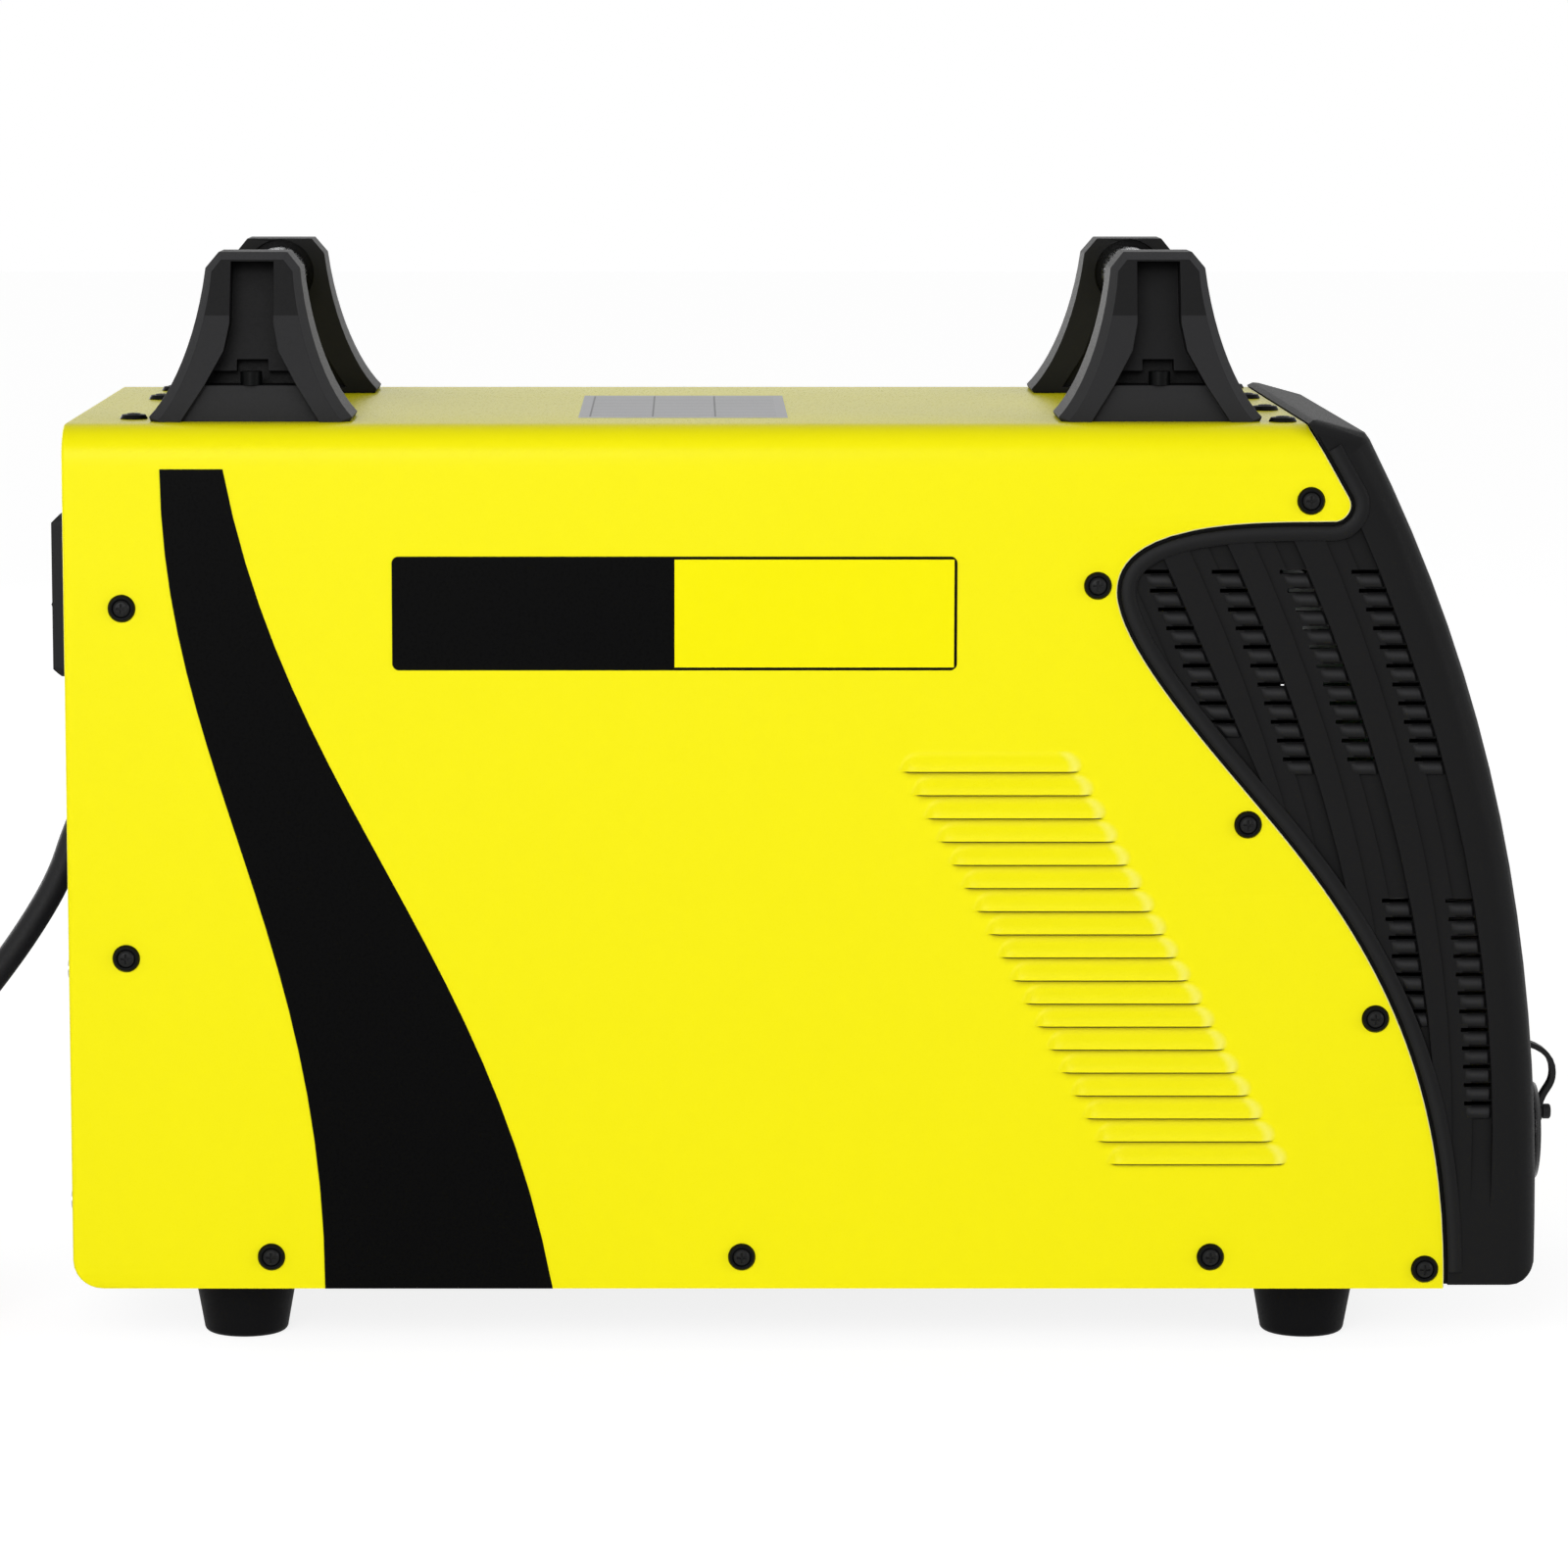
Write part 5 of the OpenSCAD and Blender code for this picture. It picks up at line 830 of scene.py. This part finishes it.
def bracket_of(name, node_name, mid_x, side):
    """A closed solid from its plane faces. A corner is x from the bracket's middle, its height z
    and how far it lies inside the outer face or, after None, outside the inner face."""
    points, faces, facet_light = [], [], []

    def at(x, z, inside=None, outside=None):
        """The number of the point; both faces lean in evenly over the bracket's height."""
        share = z / bracket_tall
        reach = (base_out + (top_out - base_out) * share - inside if outside is None
                 else base_in + (top_in - base_in) * share + outside)
        points.append([mid_x + x, side * reach, top_z + z])
        return len(points) - 1

    def face(corners, tone):
        """Adds a flat face with painted light: a tone from 0, the black of the moulding, to 1, its
        most brightly lit faces.
        """
        faces.append([at(*c) for c in corners])
        facet_light.append(tone)

    # The flared sides and their chamfers. Both outlines get a point at rail_break.
    half, inner = flare, chamfer_line(flare)
    i = int(np.searchsorted(inner[:, 1], rail_break))
    share = (rail_break - inner[i - 1, 1]) / (inner[i, 1] - inner[i - 1, 1])
    half = np.insert(half, i, half[i - 1] + share * (half[i] - half[i - 1]), axis=0)
    inner = np.insert(inner, i, inner[i - 1] + share * (inner[i] - inner[i - 1]), axis=0)
    half = np.vstack([half, [0.0, half[-1, 1]]])
    inner = np.vstack([inner, [0.0, inner[-1, 1]]])
    ring, ring_in = ([*line.tolist(), *[[-x, z] for x, z in line[-2::-1].tolist()]]
                     for line in (half, inner))
    for a, b, c, d in zip(ring[:-1], ring[1:], ring_in[:-1], ring_in[1:]):
        face([(*a, None, 0.0), (*b, None, 0.0), (*b, chamfer_deep), (*a, chamfer_deep)], 0.55)
        face([(*a, chamfer_deep), (*b, chamfer_deep), (*d, 0.0), (*c, 0.0)], 0.9)

    # The rails beside the recess, the walls of the recess, and the gap above its ledge.
    levels = [0.0, ledge_z, gap_top, *rail[2:4, 1].tolist(), rail_break, recess_top]
    for sign in (1, -1):
        edge = [[sign * x, z] for x, z in inner.tolist()]
        low, high = edge[:i + 1], edge[i:]
        rails_low = [[sign * rail_at(z), z] for z in levels if z <= rail_break]
        rails_high = [[sign * rail_at(z), z] for z in levels if z >= rail_break]
        # Painted light on the rails: paler below rail_break, with darker painted shade above it.
        face([(*p, 0.0) for p in low + rails_low[::-1]], 0.6)
        face([(*p, 0.0) for p in high + [[0.0, recess_top]] + rails_high[::-1]], 0.1)
        for a, b in zip(levels[:-1], levels[1:]):
            deep = apron_in if b <= ledge_z else gap_in if b <= gap_top else wall_in
            pa, pb = (sign * rail_at(a), a), (sign * rail_at(b), b)
            steps = [(*pb, deep), (*pa, deep)]
            if deep == gap_in:
                steps = [(*pb, wall_in), *steps, (*pa, apron_in)]
            face([(*pa, 0.0), (*pb, 0.0), *steps], 0.1)
        far, near = sign * rail_at(gap_top), sign * notch_half
        face([(far, gap_top, wall_in), (near, gap_top, wall_in),
              (near, gap_top, gap_in), (far, gap_top, gap_in)], 0.0)
        face([(near, gap_top, wall_in), (near, notch_top, wall_in),
              (near, notch_top, gap_in), (near, gap_top, gap_in)], 0.0)

    # The apron below the ledge, the ledge, the recess's back with its notch, and its top.
    wide, foot = rail_at(ledge_z), rail_at(0.0)
    face([(-foot, 0.0, apron_in), (foot, 0.0, apron_in),
          (wide, ledge_z, apron_in), (-wide, ledge_z, apron_in)], 0.6)
    face([(-wide, ledge_z, apron_in), (wide, ledge_z, apron_in),
          (wide, ledge_z, gap_in), (-wide, ledge_z, gap_in)], 0.2)
    tall = [(rail_at(z), z) for z in levels if z >= gap_top]
    notch = [(-notch_half, gap_top), (-notch_half, notch_top),
             (notch_half, notch_top), (notch_half, gap_top)]
    face([(*p, wall_in) for p in notch + tall + [(-x, z) for x, z in reversed(tall)]], 0.25)
    far = rail_at(gap_top)
    face([(-wide, ledge_z, gap_in), (wide, ledge_z, gap_in), (far, gap_top, gap_in)]
         + [(x, z, gap_in) for x, z in notch[::-1]] + [(-far, gap_top, gap_in)], 0.0)
    face([(-notch_half, notch_top, wall_in), (notch_half, notch_top, wall_in),
          (notch_half, notch_top, gap_in), (-notch_half, notch_top, gap_in)], 0.0)
    narrow = rail_at(recess_top)
    face([(-narrow, recess_top, 0.0), (0.0, recess_top, 0.0), (narrow, recess_top, 0.0),
          (narrow, recess_top, wall_in), (-narrow, recess_top, wall_in)], 0.0)
    side_low = [(half[0, 0], 0.0, None, 0.0), (half[0, 0], 0.0, chamfer_deep),
                (inner[0, 0], 0.0, 0.0), (foot, 0.0, 0.0), (foot, 0.0, apron_in)]
    face(side_low + [(-c[0], *c[1:]) for c in reversed(side_low)], 0.0)

    # The inner face, with the round socket of the bar and a shallow hollow below it.
    a = np.radians(np.arange(0, 360, 7.5))
    circle = np.stack([socket_r * np.cos(a), socket_z + socket_r * np.sin(a)], -1).tolist()
    hollow = [(30.0, 3.0), (20.3, 18.7), (14.0, 36.7), (-14.0, 36.7), (-20.3, 18.7), (-30.0, 3.0)]
    outlines = [[Vector((x, z, 0)) for x, z in line] for line in (ring, circle, hollow)]
    flat = [p for line in (ring, circle, hollow) for p in line]
    for corners in tessellate_polygon(outlines):
        face([(*flat[i], None, 0.0) for i in corners], 0.3)
    for line, deep in ((circle, socket_in), (hollow, hollow_in)):
        for p, q in zip(line, line[1:] + line[:1]):
            face([(*p, None, 0.0), (*q, None, 0.0), (*q, None, deep), (*p, None, deep)], 0.1)
        face([(*p, None, deep) for p in line], 0.1)

    piece = piece_of(name, points, faces, moulding, smooth=180)
    work = bmesh.new()
    work.from_mesh(piece.data)
    tone = work.faces.layers.float.new("facet_light")
    for made, value in zip(work.faces, facet_light):
        made[tone] = value
    bmesh.ops.remove_doubles(work, verts=work.verts, dist=same_place)
    bmesh.ops.recalc_face_normals(work, faces=work.faces)
    work.to_mesh(piece.data)
    work.free()
    piece.data.shade_smooth()
    bevel = piece.modifiers.new("edges", "BEVEL")
    bevel.width = rounding
    bevel.segments = 2
    bevel.limit_method = "ANGLE"
    bevel.angle_limit = round_from
    even = piece.modifiers.new("even", "WEIGHTED_NORMAL")
    even.keep_sharp = True
    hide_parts(node_name)
    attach(piece, "machine")


for end, mid_x in {"rear": 81.1, "front": 481.6}.items():
    for hand, side in (("right", -1), ("left", 1)):
        bracket_of(f"bracket_{end}_{hand}", f"handle_bracket_{end}_{hand}", mid_x, side)


# ---- Handle bars and bracket screws -----------------------------------------
# Two bright steel tubes, brushed along their length, and black socket-head screws.
tube_steel = finish("bright_tube", (0.58, 0.59, 0.60), 0.26, shade=0.9, patch=30, grain=900,
                    relief=0.001, metal=1.0, stretch=(1, 0.05, 1))
dress("handle_bars", tube_steel, 0.4)


def blackened(name, colour, specular):
    """Blackened steel of a screw or a washer."""
    return finish(name, colour, 0.36, shade=0.7, patch=120, grain=2500, relief=0.01,
                  specular=specular)


screw_black = blackened("black_steel", (0.0022, 0.0025, 0.0028), 0.07)
dress("bracket_screws", screw_black, 0.2)


# ---- Case screws ------------------------------------------------------------
# Black pan-head screws with cross recesses, each in a black cup washer.
dress("cup_washers", screw_black, 0.2)
head_black = blackened("screw_head", (0.0062, 0.0064, 0.0068), 0.16)
# Painted shade darkens the heads' cross recesses.
paint_corner_shade(head_black, 1.2, 1.4)
dress(["side_screws", "top_screws"], head_black, 0.2)


# ---- Feet -------------------------------------------------------------------
# Four tapered rubber feet, screwed through their middles into the tray.
foot_rubber = finish("foot_rubber", (0.0035, 0.0035, 0.004), 0.6, shade=0.7, patch=40, grain=1500,
                     relief=0.05, specular=0.07)
dress("feet", foot_rubber, 0.8, 3)
zinc = finish("plated_zinc", (0.55, 0.56, 0.58), 0.3, shade=0.8, patch=150, grain=2000,
              relief=0.005, metal=1.0)
dress("foot_screws", zinc, 0.25)


# ---- Rating label -----------------------------------------------------------
# A grey film on the top with an empty table: a frame, three columns and fourteen rows.
label_x, label_y, label_rows, label_columns = (225.0, 318.0), (-100.0, 60.0), 14, 3


def ruled(tree, place, low, high, margin, count, line):
    """Two masks for a place in metres from low to high millimetres: inside the margins, and on
    one of the lines that part it in count. The margin is a share of the whole, the line's width
    a share of one part."""
    share = math_node(tree, "DIVIDE", math_node(tree, "SUBTRACT", place, low / 1000),
                      (high - low) / 1000)
    part = math_node(tree, "MULTIPLY", math_node(tree, "SUBTRACT", share, margin),
                     count / (1 - 2 * margin))
    on_line = math_node(tree, "LESS_THAN", math_node(tree, "FRACT", part), line)
    return between(tree, share, margin, 1 - margin), on_line


def table_lines(tree, x, y, z):
    """Thin lines of the frame, the rows and the columns, inside a plain margin."""
    in_y, on_row = ruled(tree, y, *label_y, 0.03, label_rows, 0.09)
    in_x, on_column = ruled(tree, x, label_x[0] - REAR, label_x[1] - REAR, 0.05, label_columns,
                            0.03)
    inside = math_node(tree, "MULTIPLY", in_y, in_x)
    return math_node(tree, "MULTIPLY", inside, math_node(tree, "MAXIMUM", on_row, on_column))


label = finish("label_film", (0.44, 0.445, 0.462), 0.4, shade=0.9, patch=30, grain=1500,
               relief=0.004, specular=0.3)
print_over(label, table_lines, (0.03, 0.03, 0.035))
dress("rating_label", label, 0)


# ---- Tray and panels --------------------------------------------------------
# Folded steel in fine-textured black paint: the base tray, the rear panel and the
# connector panel behind the lower front opening.
black_paint = finish("black_paint", (0.010, 0.010, 0.011), 0.5, shade=0.8, patch=10, grain=1600,
                     relief=0.02, specular=0.22)
dress(["base_tray", "rear_panel", "front_panel"], black_paint, 0.3)


# ---- Main switch ------------------------------------------------------------
# A moulded hood round a miniature breaker of pale plastic with a black lever.
dress("switch_hood", textured("hood_moulding", (0.021, 0.021, 0.023)), 0.5)
pale_plastic = finish("pale_plastic", (0.62, 0.61, 0.57), 0.45, shade=0.9, patch=30, grain=1500,
                      relief=0.02)
dress("breaker_body", pale_plastic, 0.5)
gloss = finish("black_gloss", (0.010, 0.010, 0.011), 0.28, shade=0.8, patch=40, grain=1800,
               relief=0.01, specular=0.35)
dress("power_lever", gloss, 0.5)


# ---- Fans -------------------------------------------------------------------
# Two 120 mm axial fans of black plastic, each with a chromed wire guard and its screws.
dress(["fan_frames", "fan_rotor_right", "fan_rotor_left"], gloss, 0.4)
chrome = finish("chrome", (0.62, 0.63, 0.65), 0.14, shade=0.9, patch=60, grain=1500, relief=0.002,
                metal=1.0, spread=0.04)
dress("fan_guards", chrome, 0.7, 3)
dress("fan_screws", zinc, 0.25)


# ---- Rear fittings ----------------------------------------------------------
# The lead's rubber boot, the brass air inlet with its hose tail, and the earth stud.
dress("cord_boot", rubber, 0.4)
brass = finish("brass", (0.72, 0.48, 0.16), 0.28, shade=0.82, patch=90, grain=1500,
               relief=0.005, metal=1.0)
dress(["air_inlet", "earth_stud"], brass, 0.3)


# ---- Front controls ---------------------------------------------------------
# A painted plate with a smoked display window, two knobs, a toggle, a push button and
# three lamps. Pale lines printed on the plate frame the window and mark the knobs' dials.
plate_grey = finish("fascia_paint", (0.032, 0.034, 0.037), 0.42, shade=0.85, patch=12, grain=1600,
                    relief=0.02, specular=0.3)
dress("control_fascia", plate_grey, 0)
print_white = finish("fascia_print", (0.62, 0.63, 0.64), 0.5, shade=0.95, patch=30, grain=1500,
                     relief=0.004, specular=0.2)
plate_x, plate_z, plate_face, lean = 613.5, 289.0, -22.0, math.atan2(47, 156)
print_sunk, print_up, dial_v = 0.3, 0.08, -30.0
dials = {"current_knob": (-62.0, 20.0, 19, -0.7), "post_flow_knob": (4.0, 15.0, 11, -2.7)}
print_points, print_faces = [], []


def printed(corners, face=plate_face):
    """Adds one closed tile of print. Its corners are Y and height up the plate, from the plate's
    middle at plate_x and plate_z; the plate leans back by lean. The tile lies a little over a
    face that is so many millimetres from the bezel's own."""
    base, n = len(print_points), len(corners)
    for out in (face - print_sunk, face + print_up):
        print_points.extend([plate_x + out * math.cos(lean) - v * math.sin(lean), y,
                             plate_z + out * math.sin(lean) + v * math.cos(lean)]
                            for y, v in corners)
    print_faces.append([base + i for i in range(n)][::-1])
    print_faces.append([base + n + i for i in range(n)])
    for i in range(n):
        j = (i + 1) % n
        print_faces.append([base + i, base + j, base + n + j, base + n + i])


def stroke(y0, v0, y1, v1, width, face=plate_face):
    """A straight printed line between two points, width millimetres wide."""
    along = unit(np.array([y1 - y0, v1 - v0]))
    across = np.array([-along[1], along[0]]) * width / 2
    printed([(y0 - across[0], v0 - across[1]), (y1 - across[0], v1 - across[1]),
             (y1 + across[0], v1 + across[1]), (y0 + across[0], v0 + across[1])], face)


for dial_y, knob_r, ticks, _ in dials.values():
    for i, turn in enumerate(np.radians(np.linspace(225, -45, ticks))):
        long = i % 2 == 0
        near, far = knob_r + 3.0, knob_r + (6.6 if long else 4.8)
        stroke(dial_y + near * math.cos(turn), dial_v + near * math.sin(turn),
               dial_y + far * math.cos(turn), dial_v + far * math.sin(turn), 0.9 if long else 0.6)
for lamp_y in (62, 82, 102):
    stroke(lamp_y - 5, 34.5, lamp_y + 5, 34.5, 0.8)
for ends in ((-68.5, 15.5, 24.5, 15.5), (24.5, 15.5, 24.5, 60.5),
             (24.5, 60.5, -68.5, 60.5), (-68.5, 60.5, -68.5, 15.5),
             (-108, 1, 108, 1), (42, 4, 42, 64)):
    stroke(*ends, 0.7)
marks = piece_of("fascia_marks", print_points, print_faces, print_white)
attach(marks, "machine")
lens = finish("smoked_lens", (0.02, 0.004, 0.004), 0.1, shade=0.8, patch=30, grain=900,
              relief=0.002)
dress("display_window", lens, 0.4)
dress(["current_knob", "post_flow_knob"], gloss, 0.4)
for knob, (dial_y, knob_r, _, top) in dials.items():
    print_points.clear()
    print_faces.clear()
    stroke(dial_y, dial_v + knob_r - 13.5, dial_y, dial_v + knob_r - 6.0, 1.4, top)
    line = piece_of(f"{knob}_line", print_points, print_faces, print_white)
    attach(line, knob)
dress("mode_toggle", chrome, 0)
dress("toggle_bush", chrome, 0.25)
red_button = finish("red_button", (0.5, 0.02, 0.015), 0.35, shade=0.85, patch=100, grain=1500,
                    relief=0.01)
dress("air_test_button", red_button, 0.3)
green_lens = finish("lamp_lens", (0.06, 0.4, 0.1), 0.2, shade=0.8, patch=200, grain=1500,
                    relief=0.004)
dress("indicator_lamps", green_lens, 0.2)


# ---- Front connectors -------------------------------------------------------
# The torch connector and the work lead's socket of black plastic, the plated control
# socket, and the rubber dust cap on its strap.
dress(["torch_connector", "work_socket"], gloss, 0.4)
dress("control_socket", chrome, 0.25)
dress(["dust_cap", "cap_strap"], rubber, 0.4)


# ---- Power parts inside -----------------------------------------------------
# The air duct of galvanised sheet carries extruded heat sinks with the modules and
# the rectifier on them; boards, capacitors and wound parts stand round it.
zinc_sheet = finish("zinc_sheet", (0.5, 0.51, 0.52), 0.38, shade=0.7, patch=45, grain=900,
                    relief=0.004, metal=1.0)
dress("wind_tunnel", zinc_sheet, 0.2)
aluminium = finish("aluminium", (0.7, 0.71, 0.72), 0.36, shade=0.85, patch=60, grain=1200,
                   relief=0.006, metal=1.0, stretch=(0.05, 1, 1))
dress("heat_sinks", aluminium, 0.3)
dress(["power_modules", "input_rectifier"], gloss, 0.6)
board = finish("green_board", (0.012, 0.14, 0.05), 0.35, shade=0.7, patch=90, grain=1200,
               relief=0.01)
dress(["power_board", "control_board", "display_board"], board, 0.2)
blue = finish("blue_sleeve", (0.02, 0.05, 0.22), 0.35, shade=0.8, patch=60, grain=1200, relief=0.01)
dress("capacitors", blue, 1.5, 3)
ferrite = finish("ferrite", (0.03, 0.03, 0.032), 0.6, shade=0.7, patch=60, grain=1500, relief=0.05)
dress("main_transformer", ferrite, 0.8)
copper = finish("copper", (0.62, 0.24, 0.08), 0.35, shade=0.75, patch=60, grain=1200,
                relief=0.02, metal=1.0)
dress(["output_inductor", "hf_coil"], copper, 1.5)


# ---- Air path inside --------------------------------------------------------
# The valve block behind the air inlet, and the blue hose from it to the torch connector.
dress("solenoid_valve", zinc_sheet, 0.6)
hose_blue = finish("hose_blue", (0.03, 0.12, 0.42), 0.35, shade=0.85, patch=30, grain=1200,
                   relief=0.01)
dress("air_hose", hose_blue, 0)
